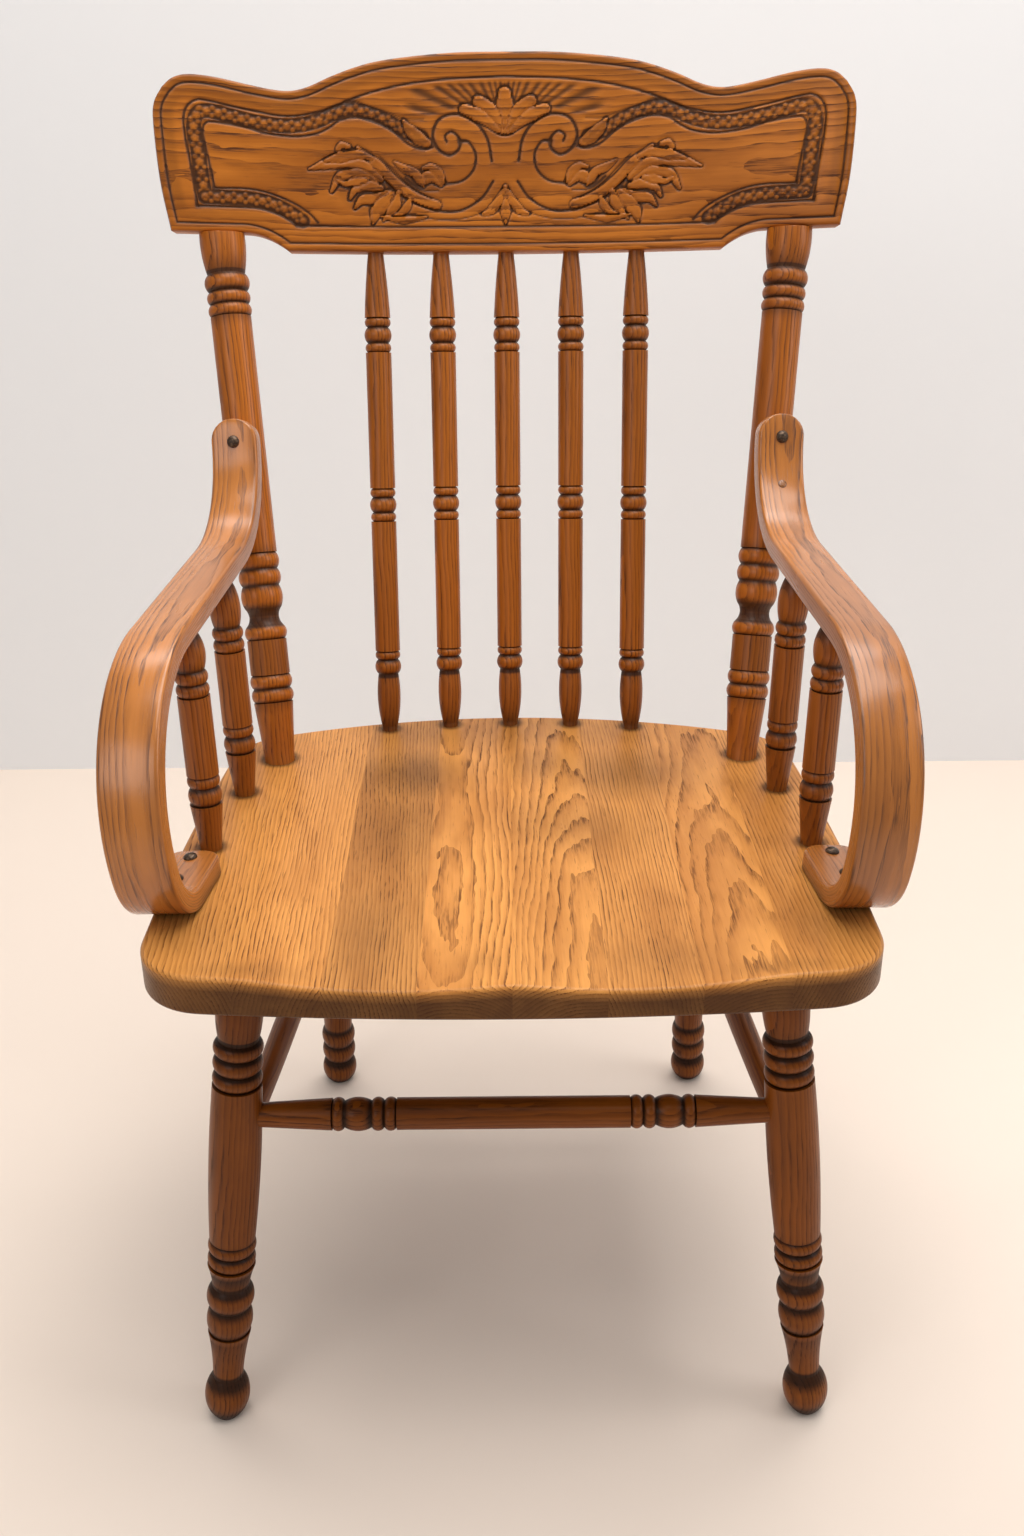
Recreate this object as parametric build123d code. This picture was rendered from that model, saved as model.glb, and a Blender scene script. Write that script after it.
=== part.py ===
from build123d import *
import math
import os
from copy import copy

# Press back armchair: a turned dining armchair with a glued-up saddle seat, a bent pressed crest rail,
# five back spindles and bentwood arms. Millimetres, +Z up, the sitter faces -Y, the left side is -X.
# While it is built, Y is measured backwards from the front edge of the seat and Z from the floor.

# Fits
FIT = 0.1                        # clearance all round a tenon in its socket
COLLAR_MARGIN = 0.8              # plain tenon that shows beyond what the tilt of its axis needs
FOOT_SINK = 4.0                  # how far a ball foot runs on below the floor before it is cut flat

# Seat: edge-glued boards, scooped for two thighs
SEAT_HEIGHT = 449.0
SEAT_THICKNESS = 32.0
SEAT_DEPTH = 476.0
SEAT_HALF_WIDTH = 270.0          # at the widest, beside the arm feet
SEAT_WIDEST_Y = 215.0
SEAT_REAR_HALF_WIDTH = 257.0
SEAT_FRONT_SAG = 14.5            # how far the bowed front edge falls back at the corners
SEAT_REAR_SAG = 56.0             # how far the bowed back edge comes forward at the corners
SEAT_FRONT_CORNER = 52.0
SEAT_REAR_CORNER = 60.0
SEAT_EDGE_ROUND = 4.0
BOARD_WIDTH = 67.0
GLUE_LINE_CLEARANCE = 4.0        # outermost glue lines, from the sockets of the back posts
SCOOP_OFFSET = 90.0              # middle of each thigh scoop from the centre line
SCOOP_DEPTH = 8.5
SCOOP_LOWEST_Y = 95.0
SCOOP_RADIUS_ACROSS = 600.0
SCOOP_RADIUS_ALONG = 4500.0
SCOOP_OVERRUN = 1.5              # how many times its own half width and length the cutter reaches

# Crest rail: a bent board, pressed on its front face
CREST_BOTTOM_HEIGHT = 431.0      # above the seat
CREST_BOTTOM_Y = 541.0           # front face at the middle of the bottom edge
CREST_LEAN = 11.0                # degrees back from upright
CREST_THICKNESS = 23.0
CREST_BEND_RADIUS = 900.0
CREST_HEIGHT = 167.5             # at the middle, along the board
CREST_HALF_WIDTH = 302.0
CREST_CORNER_INSET = 9.0         # insets are from the widest, on each side
CREST_CORNER_RISE = 15.0         # bottom corners stand higher than the apron between them
CREST_APRON_HALF_WIDTH = 195.0
CREST_OGEE_WIDTH = 38.0
CREST_SIDE_HEIGHT = 108.0
CREST_SIDE_BOW_INSET = 2.5
CREST_SIDE_BOW_HEIGHT = 56.0
CREST_EAR_HEIGHT = 142.5
CREST_EAR_INSET = 30.0
CREST_EAR_SHOULDER_INSET = 8.5
CREST_EAR_SHOULDER_HEIGHT = 130.5
CREST_DIP_HEIGHT = 133.0
CREST_DIP_X = 188.0
CREST_ARCH_X = 110.0
CREST_ARCH_HEIGHT = 159.5

# Back posts
POST_BASE_X = 215.5
POST_BASE_Y = 379.5
POST_TOP_INSET = 49.0            # from the crest's widest
POST_DIA = 36.0
POST_BASE_DIA = 28.0
POST_TAPER_LENGTH = 48.0
POST_RING_DIA = 38.5
POST_RING_LENGTH = 11.0
POST_FOOT_RING_LENGTH = 13.0
POST_BEAD_DIA = 40.0
POST_BEAD_LENGTH = 15.0
POST_GROOVE_DIA = 33.0
POST_LOWER_DRUM_LENGTH = 32.0
POST_WAIST_DIA = 27.0
POST_WAIST_LENGTH = 16.0
POST_BULB_DIA = 38.0
POST_BULB_LENGTH = 20.5
POST_CUP_DIA = 39.5
POST_CUP_LENGTH = 36.0
POST_BASE_TENON = 24.0
POST_TOP_TENON_DIA = 14.0
POST_TOP_TENON = 28.0

# Back spindles
SPINDLE_COUNT = 5
SPINDLE_BASE_PITCH = 58.8
SPINDLE_TOP_PITCH = 59.5
SPINDLE_INSET = 16.0             # from the back edge of the seat
SPINDLE_DIA = 23.6
SPINDLE_END_DIA = 14.5
SPINDLE_BALL_DIA = 25.0
SPINDLE_BALL_LENGTH = 14.0
SPINDLE_RING_DIA = 23.8
SPINDLE_RING_LENGTH = 8.5
SPINDLE_GROOVE_DIA = 19.0
SPINDLE_FOOT_LENGTH = 52.0
SPINDLE_FOOT_SWELL_DIA = 22.0
SPINDLE_TIP_LENGTH = 54.0
SPINDLE_TIP_SWELL_DIA = 20.0
SPINDLE_SEAT_TENON = 20.0
SPINDLE_CREST_TENON = 22.0

# Bentwood arms, in a plane that opens forwards and leans outwards
ARM_WIDTH = 46.5
ARM_TOP_WIDTH = 41.0
ARM_THICKNESS = 17.0
ARM_PLANE_X = 254.0              # middle of the band, on the seat, at the foot
ARM_PLANE_Y = 140.0
ARM_YAW = 6.0                    # degrees
ARM_LEAN = 4.0                   # degrees
ARM_FOOT_END = 30.0              # end of the foot, behind ARM_PLANE_Y
ARM_FOOT_FLAT = 55.0
ARM_HEEL_RADIUS = 45.0
ARM_HEEL_TURN = 78.0             # degrees
ARM_FRONT_RADIUS = 123.0
ARM_REST_RISE = 4.5              # degrees that the arm rest climbs towards the back
ARM_BACK_RADIUS = 105.0
ARM_TIP_FLAT = 23.6              # straight end of the band, along the post
ARM_BEDDING = 2.5                # depth of the flat on the post that the band is screwed to
ARM_TIP_ROUND = 18.5
ARM_FOOT_ROUND = 12.0
ARM_EDGE_ROUND = 3.0

# Arm spindles
ARM_SPINDLE_FRONT_X = 246.5
ARM_SPINDLE_FRONT_Y = 204.5
ARM_SPINDLE_REAR_X = 236.0
ARM_SPINDLE_REAR_Y = 307.5
ARM_SPINDLE_RAKE = 12.0          # how far back the top stands behind the base
ARM_SPINDLE_INSET = 8.0          # top of the spindle, inwards from the middle of the band
ARM_SPINDLE_DIA = 26.0
ARM_SPINDLE_BASE_DIA = 17.8
ARM_SPINDLE_TIP_DIA = 15.0
ARM_SPINDLE_FOOT_LENGTH = 38.0
ARM_SPINDLE_BALL_DIA = 27.2
ARM_SPINDLE_BALL_LENGTH = 15.0
ARM_SPINDLE_RING_DIA = 26.4
ARM_SPINDLE_RING_LENGTH = 10.5
ARM_SPINDLE_GROOVE_DIA = 21.5
ARM_SPINDLE_FRONT_TIP_LENGTH = 32.0
ARM_SPINDLE_REAR_TIP_LENGTH = 40.0
ARM_SPINDLE_SEAT_TENON = 18.0
ARM_SPINDLE_ARM_TENON = 8.0

# Front legs
FRONT_FOOT_X = 245.0
FRONT_FOOT_Y = 34.5
FRONT_LEG_TOP_X = 202.5
FRONT_LEG_TOP_Y = 70.0
LEG_BALL_DIA = 37.0
LEG_BALL_LENGTH = 41.0
LEG_BALL_POINT_DIA = 12.5        # of the ball foot at the bottom, before it is cut flat
LEG_NECK_DIA = 25.0
LEG_NECK_MIDDLE_DIA = 28.0
LEG_NECK_TOP_DIA = 35.0
LEG_NECK_LENGTH = 46.0
LEG_BAND_DIA = 37.5
LEG_BAND_LENGTH = 25.5
LEG_GROOVE_DIA = 31.0
LEG_SHOULDER_LENGTH = 21.0
LEG_COVE_DIA = 30.0
LEG_BELL_LENGTH = 20.5
LEG_BELL_MIDDLE_DIA = 33.0
LEG_RING_DIA = 38.5
LEG_RING_LENGTH = 12.8
LEG_BARREL_DIA = 41.0
LEG_BARREL_FOOT_DIA = 36.7
LEG_TOP_BALL_LENGTH = 14.0
LEG_TOP_LENGTH = 56.0            # from the upper ring to the underside of the seat
LEG_TOP_DIA = 36.5
LEG_TENON_DIA = 30.0
LEG_TENON = 22.0

# Rear legs
REAR_FOOT_X = 197.5
REAR_FOOT_Y = 493.5
REAR_LEG_TOP_X = 180.0
REAR_LEG_TOP_Y = 432.0
REAR_BALL_LENGTH = 34.0
REAR_RING_LENGTH = 22.0
REAR_RING_DIA = 36.0
REAR_SHAFT_FOOT_DIA = 30.0
REAR_SHAFT_DIA = 35.0

# Stretchers
FRONT_STRETCHER_HEIGHT = 291.0
SIDE_STRETCHER_HEIGHT = 250.0
REAR_STRETCHER_HEIGHT = 275.0
STRETCHER_DIA = 24.8
STRETCHER_END_DIA = 19.0
STRETCHER_TAPER_LENGTH = 54.5
STRETCHER_RING_LENGTH = 9.8
STRETCHER_RING_DIA = 26.0
STRETCHER_BARREL_LENGTH = 21.0
STRETCHER_GROOVE_DIA = 20.5
STRETCHER_TENON = 15.0           # into the leg, from the leg's face
PLAIN_STRETCHER_DIA = 22.0
PLAIN_STRETCHER_END_DIA = 16.0

# Screws of the arms
SCREW_HEAD_DIA = 11.0
SCREW_HEAD_SHOULDER_DIA = 9.2
SCREW_HEAD_CROWN_DIA = 3.3
SCREW_HEAD_HEIGHT = 3.6
SCREW_SHANK_DIA = 4.8
SCREW_POINT_DIA = 1.2
SCREW_POINT_LENGTH = 4.8
SCREW_LENGTH = 34.0              # under the head
FOOT_SCREW_SETBACKS = (11.0, 46.0)   # from the end of the arm's foot
TIP_SCREW_SETBACK = 20.0         # from the top end of the arm

# Long enough to pass right through the chair in any direction
REACH = 2000.0


# Turning

def straight(length, dia, end_dia=None):
    """A cylinder, or a cone that ends at another diameter."""
    return (length, dia, None, dia if end_dia is None else end_dia)


def swell(length, dia, middle_dia, end_dia):
    """A stretch whose side is an arc through a middle diameter: a barrel, a bead or a hollow."""
    return (length, dia, middle_dia, end_dia)


def bead(length, dia, groove_dia):
    """A ring that rises from a groove and falls back into one."""
    return swell(length, groove_dia, dia, groove_dia)


def stick_length(stick):
    return sum(stretch[0] for stretch in stick)


def turn(stick):
    """Revolve a story stick, a list of stretches from bottom to top, about Z."""
    edges = []
    pen = Vector(0, 0, 0)

    def draw_to(point):
        nonlocal pen
        if (point - pen).length > 1e-6:
            edges.append(Edge.make_line(pen, point))
        pen = point

    z = 0.0
    for length, dia, middle_dia, end_dia in stick:
        draw_to(Vector(dia / 2, 0, z))
        end = Vector(end_dia / 2, 0, z + length)
        if middle_dia is None:
            draw_to(end)
        else:
            middle = Vector(middle_dia / 2, 0, z + length / 2)
            edges.append(Edge.make_three_point_arc(pen, middle, end))
            pen = end
        z += length
    draw_to(Vector(0, 0, z))
    draw_to(Vector(0, 0, 0))
    return revolve(Face(Wire(edges)), Axis.Z)


def along(start, end):
    """The frame at start whose Z runs towards end, with its X as near to the chair's X as it can be."""
    return Plane(origin=start, x_dir=(1, 0, 0.001), z_dir=(Vector(*end) - Vector(*start)))


def place_turned(stick, start, end, setback):
    """Lay a turned stick along the line from start to end, beginning setback before start."""
    return along(start, end) * Pos(0, 0, -setback) * turn(stick)


def socket(start, end, dia, depth):
    """The round hole for a tenon that enters at start, from the side of end, and goes depth deep."""
    hole = Cylinder(dia / 2 + FIT, depth + FIT + dia, align=(Align.CENTER, Align.CENTER, Align.MIN))
    return along(start, end) * Pos(0, 0, -depth - FIT) * hole


def cut_all(shape, cuts):
    """Take each cutter out of a shape in turn."""
    for cut in cuts:
        shape = shape - cut
    return shape


def collar(start, end, dia):
    """How much plain tenon shows outside a level surface, so that what follows clears its tilted rim."""
    axis = Vector(*end) - Vector(*start)
    return dia / 2 * math.hypot(axis.X, axis.Y) / abs(axis.Z) + COLLAR_MARGIN


def distance(start, end):
    return (Vector(*end) - Vector(*start)).length


def point_between(start, end, share):
    return tuple(a + share * (b - a) for a, b in zip(start, end))


def mirrored(shape):
    return mirror(shape, about=Plane.YZ)


def at_height(start, end, z):
    """The point of the line from start to end at a height."""
    return point_between(start, end, (z - start[2]) / (end[2] - start[2]))


# Seat

def seat_back_edge(x):
    """Y of the back edge of the seat, an arc, at a distance from the centre line."""
    radius = (SEAT_REAR_HALF_WIDTH**2 + SEAT_REAR_SAG**2) / (2 * SEAT_REAR_SAG)
    return SEAT_DEPTH - radius + math.sqrt(radius**2 - x**2)


def seat_outline():
    front_y = SEAT_FRONT_SAG
    rear_y = SEAT_DEPTH - SEAT_REAR_SAG
    front_left = (-SEAT_HALF_WIDTH, front_y)
    front_right = (SEAT_HALF_WIDTH, front_y)
    rear_left = (-SEAT_REAR_HALF_WIDTH, rear_y)
    rear_right = (SEAT_REAR_HALF_WIDTH, rear_y)
    edges = [
        ThreePointArc(front_left, (0, 0), front_right),
        ThreePointArc(front_right, (SEAT_HALF_WIDTH, SEAT_WIDEST_Y), rear_right),
        ThreePointArc(rear_right, (0, SEAT_DEPTH), rear_left),
        ThreePointArc(rear_left, (-SEAT_HALF_WIDTH, SEAT_WIDEST_Y), front_left),
    ]
    face = Face(Wire(edges))
    corners = face.vertices().sort_by(Axis.Y)
    face = face.fillet_2d(SEAT_FRONT_CORNER, corners[:2])
    corners = [v for v in face.vertices() if abs(v.Y - rear_y) < 1e-3]
    return face.fillet_2d(SEAT_REAR_CORNER, corners)


def thigh_scoop(x):
    """A wheel-shaped cutter with a round rim, whose lowest point is the bottom of one scoop."""
    lowest = SEAT_HEIGHT - SCOOP_DEPTH
    rim_half = math.sqrt(2 * SCOOP_RADIUS_ACROSS * SCOOP_DEPTH) * SCOOP_OVERRUN
    rim_rise = SCOOP_RADIUS_ACROSS - math.sqrt(SCOOP_RADIUS_ACROSS**2 - rim_half**2)
    left = (x - rim_half, SCOOP_LOWEST_Y, lowest + rim_rise)
    right = (x + rim_half, SCOOP_LOWEST_Y, lowest + rim_rise)
    rim = Edge.make_three_point_arc(left, (x, SCOOP_LOWEST_Y, lowest), right)
    section = Face(Wire([rim, Edge.make_line(right, left)]))
    axle = Axis((x, SCOOP_LOWEST_Y, lowest + SCOOP_RADIUS_ALONG), (1, 0, 0))
    half_turn = math.degrees(SCOOP_OVERRUN * SEAT_DEPTH / SCOOP_RADIUS_ALONG)
    return revolve(section.rotate(axle, -half_turn), axle, 2 * half_turn)


def seat_blank():
    blank = extrude(Pos(0, 0, SEAT_HEIGHT - SEAT_THICKNESS) * seat_outline(), SEAT_THICKNESS)
    rims = blank.faces().filter_by(Axis.Z).edges()
    blank = fillet(rims, SEAT_EDGE_ROUND)
    return blank - thigh_scoop(-SCOOP_OFFSET) - thigh_scoop(SCOOP_OFFSET)


def seat_boards(seat):
    """Saw the finished seat along its glue lines into boards that run front to back."""
    outermost = POST_BASE_X - POST_BASE_DIA / 2 - GLUE_LINE_CLEARANCE
    half_count = math.ceil(outermost / BOARD_WIDTH)
    lines = [i * BOARD_WIDTH for i in range(1 - half_count, half_count)]
    edges = [-REACH, -outermost] + lines + [outermost, REACH]
    boards = []
    for left, right in zip(edges, edges[1:]):
        slab = Box(right - left, REACH, REACH, align=(Align.MIN, Align.CENTER, Align.CENTER))
        boards.append(seat & Pos(left, 0, 0) * slab)
    return boards


# Crest rail

CREST_PLANE = Plane(
    origin=(0, CREST_BOTTOM_Y, SEAT_HEIGHT + CREST_BOTTOM_HEIGHT),
    x_dir=(1, 0, 0),
    z_dir=(0, -math.cos(math.radians(CREST_LEAN)), math.sin(math.radians(CREST_LEAN))),
)


def crest_bend(x):
    """How far the middle of the bent board has come forward at a distance from the centre line."""
    radius = CREST_BEND_RADIUS + CREST_THICKNESS / 2
    return radius - math.sqrt(radius**2 - x**2)


def crest_point(x, up):
    """The point in the middle of the crest's thickness, at x and at a distance up the board."""
    point = CREST_PLANE.from_local_coords((x, up, crest_bend(x) - CREST_THICKNESS / 2))
    return (point.X, point.Y, point.Z)


def crest_outline():
    """The crest seen square to its face: apron, corners, ears and the arched top."""
    ogee_end = CREST_APRON_HALF_WIDTH + CREST_OGEE_WIDTH
    ogee_middle = (CREST_APRON_HALF_WIDTH + CREST_OGEE_WIDTH / 2, CREST_CORNER_RISE / 2)
    corner = (CREST_HALF_WIDTH - CREST_CORNER_INSET, CREST_CORNER_RISE)
    side = (CREST_HALF_WIDTH, CREST_SIDE_HEIGHT)
    side_bow = (CREST_HALF_WIDTH - CREST_SIDE_BOW_INSET, CREST_SIDE_BOW_HEIGHT)
    shoulder = (CREST_HALF_WIDTH - CREST_EAR_SHOULDER_INSET, CREST_EAR_SHOULDER_HEIGHT)
    ear = (CREST_HALF_WIDTH - CREST_EAR_INSET, CREST_EAR_HEIGHT)
    right = [
        Line((0, 0), (CREST_APRON_HALF_WIDTH, 0)),
        Spline((CREST_APRON_HALF_WIDTH, 0), ogee_middle, (ogee_end, CREST_CORNER_RISE),
               tangents=((1, 0), (1, 0))),
        Line((ogee_end, CREST_CORNER_RISE), corner),
        ThreePointArc(corner, side_bow, side),
        ThreePointArc(side, shoulder, ear),
        Spline(ear, (CREST_DIP_X, CREST_DIP_HEIGHT), (CREST_ARCH_X, CREST_ARCH_HEIGHT), (0, CREST_HEIGHT),
               tangents=((-1, 0), (-1, 0))),
    ]
    left = [mirror(edge, about=Plane.YZ).edge() for edge in right]
    return Face(Wire(right + left))


def bent_board():
    """A hoop of the crest's thickness, bent about an axis in front of the chair."""
    tall = CREST_HEIGHT + CREST_CORNER_RISE
    ring = Cylinder(CREST_BEND_RADIUS + CREST_THICKNESS, tall) - Cylinder(CREST_BEND_RADIUS, tall)
    return Pos(0, CREST_HEIGHT / 2, CREST_BEND_RADIUS) * Rot(90, 0, 0) * ring


def crest_rail(sockets):
    prism = extrude(crest_outline(), amount=CREST_BEND_RADIUS / 2, both=True)
    crest = CREST_PLANE * (bent_board() & prism)
    return cut_all(crest, sockets)


# Back posts and spindles

POST_BASE = (-POST_BASE_X, POST_BASE_Y, SEAT_HEIGHT)
POST_TOP = crest_point(POST_TOP_INSET - CREST_HALF_WIDTH, CREST_CORNER_RISE)


def back_post():
    """The left post: tapered foot, two groups of rings, a plain drum and a cup under the crest."""
    ring = bead(POST_RING_LENGTH, POST_RING_DIA, POST_GROOVE_DIA)
    foot_ring = bead(POST_FOOT_RING_LENGTH, POST_RING_DIA, POST_GROOVE_DIA)
    foot = [
        straight(POST_BASE_TENON + collar(POST_BASE, POST_TOP, POST_BASE_DIA), POST_BASE_DIA),
        straight(POST_TAPER_LENGTH, POST_BASE_DIA, POST_DIA),
        foot_ring,
        foot_ring,
        straight(POST_LOWER_DRUM_LENGTH, POST_DIA),
        foot_ring,
        swell(POST_WAIST_LENGTH, POST_GROOVE_DIA, POST_WAIST_DIA, POST_GROOVE_DIA),
        swell(POST_BULB_LENGTH, POST_GROOVE_DIA, POST_BULB_DIA, POST_GROOVE_DIA),
        bead(POST_BEAD_LENGTH, POST_RING_DIA, POST_GROOVE_DIA),
        bead(POST_BEAD_LENGTH, POST_RING_DIA, POST_GROOVE_DIA),
    ]
    head = [
        ring,
        ring,
        bead(POST_BEAD_LENGTH, POST_BEAD_DIA, POST_GROOVE_DIA),
        swell(POST_CUP_LENGTH, POST_GROOVE_DIA, POST_CUP_DIA, POST_CUP_DIA),
    ]
    span = distance(POST_BASE, POST_TOP)
    drum = span + POST_BASE_TENON - stick_length(foot) - stick_length(head)
    cap = straight(POST_CUP_DIA / 2, POST_CUP_DIA)
    stick = foot + [straight(drum, POST_DIA)] + head + [cap]
    body = place_turned(stick, POST_BASE, POST_TOP, POST_BASE_TENON)
    above_crest_edge = CREST_PLANE * Pos(0, CREST_CORNER_RISE, 0) * Box(
        REACH, REACH, REACH, align=(Align.CENTER, Align.MIN, Align.CENTER))
    tenon = Cylinder(POST_TOP_TENON_DIA / 2, 2 * POST_TOP_TENON)
    return body - above_crest_edge + along(POST_TOP, POST_BASE) * tenon


def spindle_ends(index):
    """Where a back spindle leaves the seat and where it meets the crest."""
    step = index - (SPINDLE_COUNT - 1) / 2
    base_x = step * SPINDLE_BASE_PITCH
    base = (base_x, seat_back_edge(base_x) - SPINDLE_INSET, SEAT_HEIGHT)
    return base, crest_point(step * SPINDLE_TOP_PITCH, 0)


def back_spindle(base, top):
    """Two drums between three bead groups, drawn in to thin ends."""
    ring = bead(SPINDLE_RING_LENGTH, SPINDLE_RING_DIA, SPINDLE_GROOVE_DIA)
    ball = bead(SPINDLE_BALL_LENGTH, SPINDLE_BALL_DIA, SPINDLE_GROOVE_DIA)
    neck = collar(base, top, SPINDLE_END_DIA)
    foot = [
        straight(SPINDLE_SEAT_TENON + neck, SPINDLE_END_DIA),
        swell(SPINDLE_FOOT_LENGTH, SPINDLE_END_DIA, SPINDLE_FOOT_SWELL_DIA, SPINDLE_GROOVE_DIA),
        ball,
        ring,
    ]
    waist = [ring, ball, ring]
    head = [
        ring,
        ball,
        ring,
        swell(SPINDLE_TIP_LENGTH, SPINDLE_DIA, SPINDLE_TIP_SWELL_DIA, SPINDLE_END_DIA),
        straight(neck, SPINDLE_END_DIA),
    ]
    span = distance(base, top)
    left_over = span + SPINDLE_SEAT_TENON - stick_length(foot + waist + head)
    drum = straight(left_over / 2, SPINDLE_DIA)
    tenon = straight(SPINDLE_CREST_TENON, SPINDLE_END_DIA)
    return place_turned(foot + [drum] + waist + [drum] + head + [tenon], base, top, SPINDLE_SEAT_TENON)


# Bentwood arms

ARM_YAW_COS = math.cos(math.radians(ARM_YAW))
ARM_YAW_SIN = math.sin(math.radians(ARM_YAW))
ARM_LEAN_COS = math.cos(math.radians(ARM_LEAN))
ARM_LEAN_SIN = math.sin(math.radians(ARM_LEAN))

# The plane of the left arm's bends: X runs backwards, Y up and Z inwards, across the band
ARM_FRAME = Plane(
    origin=(-ARM_PLANE_X, ARM_PLANE_Y, SEAT_HEIGHT),
    x_dir=(ARM_YAW_SIN, ARM_YAW_COS, 0),
    z_dir=(ARM_YAW_COS * ARM_LEAN_COS, -ARM_YAW_SIN * ARM_LEAN_COS, ARM_LEAN_SIN),
)


def heading(degrees):
    return Vector(math.cos(math.radians(degrees)), math.sin(math.radians(degrees)))


class BandLine:
    """The middle line of the bent band, walked from its foot, with the two faces beside it."""

    def __init__(self, start, degrees):
        self.at = start
        self.degrees = degrees
        self.faces = {1: [], -1: []}

    def face_point(self, side, at=None, degrees=None):
        at = self.at if at is None else at
        degrees = self.degrees if degrees is None else degrees
        return at + heading(degrees + 90) * (side * ARM_THICKNESS / 2)

    def run(self, length):
        """Go straight on."""
        begins = {side: self.face_point(side) for side in self.faces}
        self.at = self.at + heading(self.degrees) * length
        for side, edges in self.faces.items():
            edges.append(Edge.make_line(begins[side], self.face_point(side)))

    def bend(self, radius, turn_degrees):
        """Bend to the left for a positive turn and to the right for a negative one."""
        hand = math.copysign(1, turn_degrees)
        centre = self.at + heading(self.degrees + 90) * (hand * radius)
        points = []
        for share in (0, 0.5, 1):
            degrees = self.degrees + share * turn_degrees
            at = centre - heading(degrees + 90) * (hand * radius)
            points.append({side: self.face_point(side, at, degrees) for side in self.faces})
        for side, edges in self.faces.items():
            edges.append(Edge.make_three_point_arc(*(stop[side] for stop in points)))
        self.at = at
        self.degrees += turn_degrees

    def section(self):
        """The closed side view of the band."""
        outer, inner = self.faces[1], self.faces[-1]
        foot_end = Edge.make_line(inner[0] @ 0, outer[0] @ 0)
        tip_end = Edge.make_line(outer[-1] @ 1, inner[-1] @ 1)
        return Face(Wire(outer + [tip_end] + inner + [foot_end]))


ARM_FOOT_DROP = ARM_WIDTH / 2 * ARM_LEAN_SIN    # the leaning foot is planed flat by this much
ARM_FOOT_START = Vector(ARM_FOOT_END, ARM_THICKNESS / 2 - ARM_FOOT_DROP)
POST_IN_ARM_FRAME = tuple(ARM_FRAME.to_local_coords(Vector(*point)) for point in (POST_BASE, POST_TOP))
POST_SLOPE = math.degrees(math.atan2(
    POST_IN_ARM_FRAME[1].Y - POST_IN_ARM_FRAME[0].Y,
    POST_IN_ARM_FRAME[1].X - POST_IN_ARM_FRAME[0].X,
))


def arm_line(rest_length, tip_length):
    """The band from its foot, round the heel and the front, along the rest and up the post."""
    line = BandLine(ARM_FOOT_START, 180)
    line.run(ARM_FOOT_FLAT)
    line.bend(ARM_HEEL_RADIUS, -ARM_HEEL_TURN)
    line.bend(ARM_FRONT_RADIUS, ARM_HEEL_TURN + ARM_REST_RISE - 180)
    if rest_length is None:
        return line
    line.run(rest_length)
    line.bend(ARM_BACK_RADIUS, POST_SLOPE - ARM_REST_RISE)
    if tip_length is not None:
        line.run(tip_length)
    return line


def arm_rest_length():
    """Length of the rest that brings the end of the band flat against the post."""
    clear = POST_DIA / 2 - ARM_BEDDING + ARM_THICKNESS / 2
    post_base = Vector(POST_IN_ARM_FRAME[0].X, POST_IN_ARM_FRAME[0].Y)
    along_tip = post_base + heading(POST_SLOPE + 90) * clear
    shortest = 1.0
    end = arm_line(shortest, None).at
    across = heading(POST_SLOPE + 90)
    return shortest + (along_tip - end).dot(across) / heading(ARM_REST_RISE).dot(across)


ARM_REST_LENGTH = arm_rest_length()
ARM_REST_START = arm_line(None, None).at
ARM_TIP = arm_line(ARM_REST_LENGTH, ARM_TIP_FLAT).at


def arm_rest_underside(x):
    """Height, in the arm's frame, of the underside of the straight rest."""
    middle = ARM_REST_START.Y + (x - ARM_REST_START.X) * math.tan(math.radians(ARM_REST_RISE))
    return middle - ARM_THICKNESS / 2 / math.cos(math.radians(ARM_REST_RISE))


def end_corners(band, end):
    """The two corner edges of the band at one of its ends."""
    face = band.faces().sort_by_distance(end)[0]
    return [edge for edge in face.edges() if abs(edge.length - ARM_THICKNESS) < ARM_THICKNESS / 10]


def bent_band():
    """The left arm's band in its own frame: narrower towards the tip, rounded at both ends."""
    section = arm_line(ARM_REST_LENGTH, ARM_TIP_FLAT).section()
    band = extrude(section, amount=ARM_WIDTH / 2, both=True)
    front = band.bounding_box().min.X
    narrowing = math.degrees(math.atan2((ARM_WIDTH - ARM_TOP_WIDTH) / 2, ARM_TIP.X - front))
    waste = Pos(front, 0, ARM_WIDTH / 2) * Rot(0, narrowing, 0) * Box(
        REACH, REACH, ARM_WIDTH, align=(Align.CENTER, Align.CENTER, Align.MIN))
    band = band - waste - mirror(waste, about=Plane.XY)
    band = fillet(end_corners(band, ARM_TIP), ARM_TIP_ROUND)
    band = fillet(end_corners(band, ARM_FOOT_START), ARM_FOOT_ROUND)
    sides = [band.faces().sort_by(Axis.Z)[0], band.faces().sort_by(Axis.Z)[-1]]
    return fillet([edge for side in sides for edge in side.edges()], ARM_EDGE_ROUND)


def foot_screw_frames():
    """Where the screws of the left arm's foot sit, with Z along the screw and out of the wood."""
    top = ARM_THICKNESS - ARM_FOOT_DROP
    places = [Pos(ARM_FOOT_END - setback, top, 0) for setback in FOOT_SCREW_SETBACKS]
    return [ARM_FRAME * place * Rot(-90, 0, 0) for place in places]


def tip_screw_frame():
    """Where the screw through the left arm's tip sits, with Z along the screw and out of the wood."""
    on_line = ARM_TIP - heading(POST_SLOPE) * TIP_SCREW_SETBACK
    seat = on_line + heading(POST_SLOPE + 90) * (ARM_THICKNESS / 2)
    return ARM_FRAME * Pos(seat.X, seat.Y, 0) * Rot(0, 0, POST_SLOPE) * Rot(-90, 0, 0)


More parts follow.
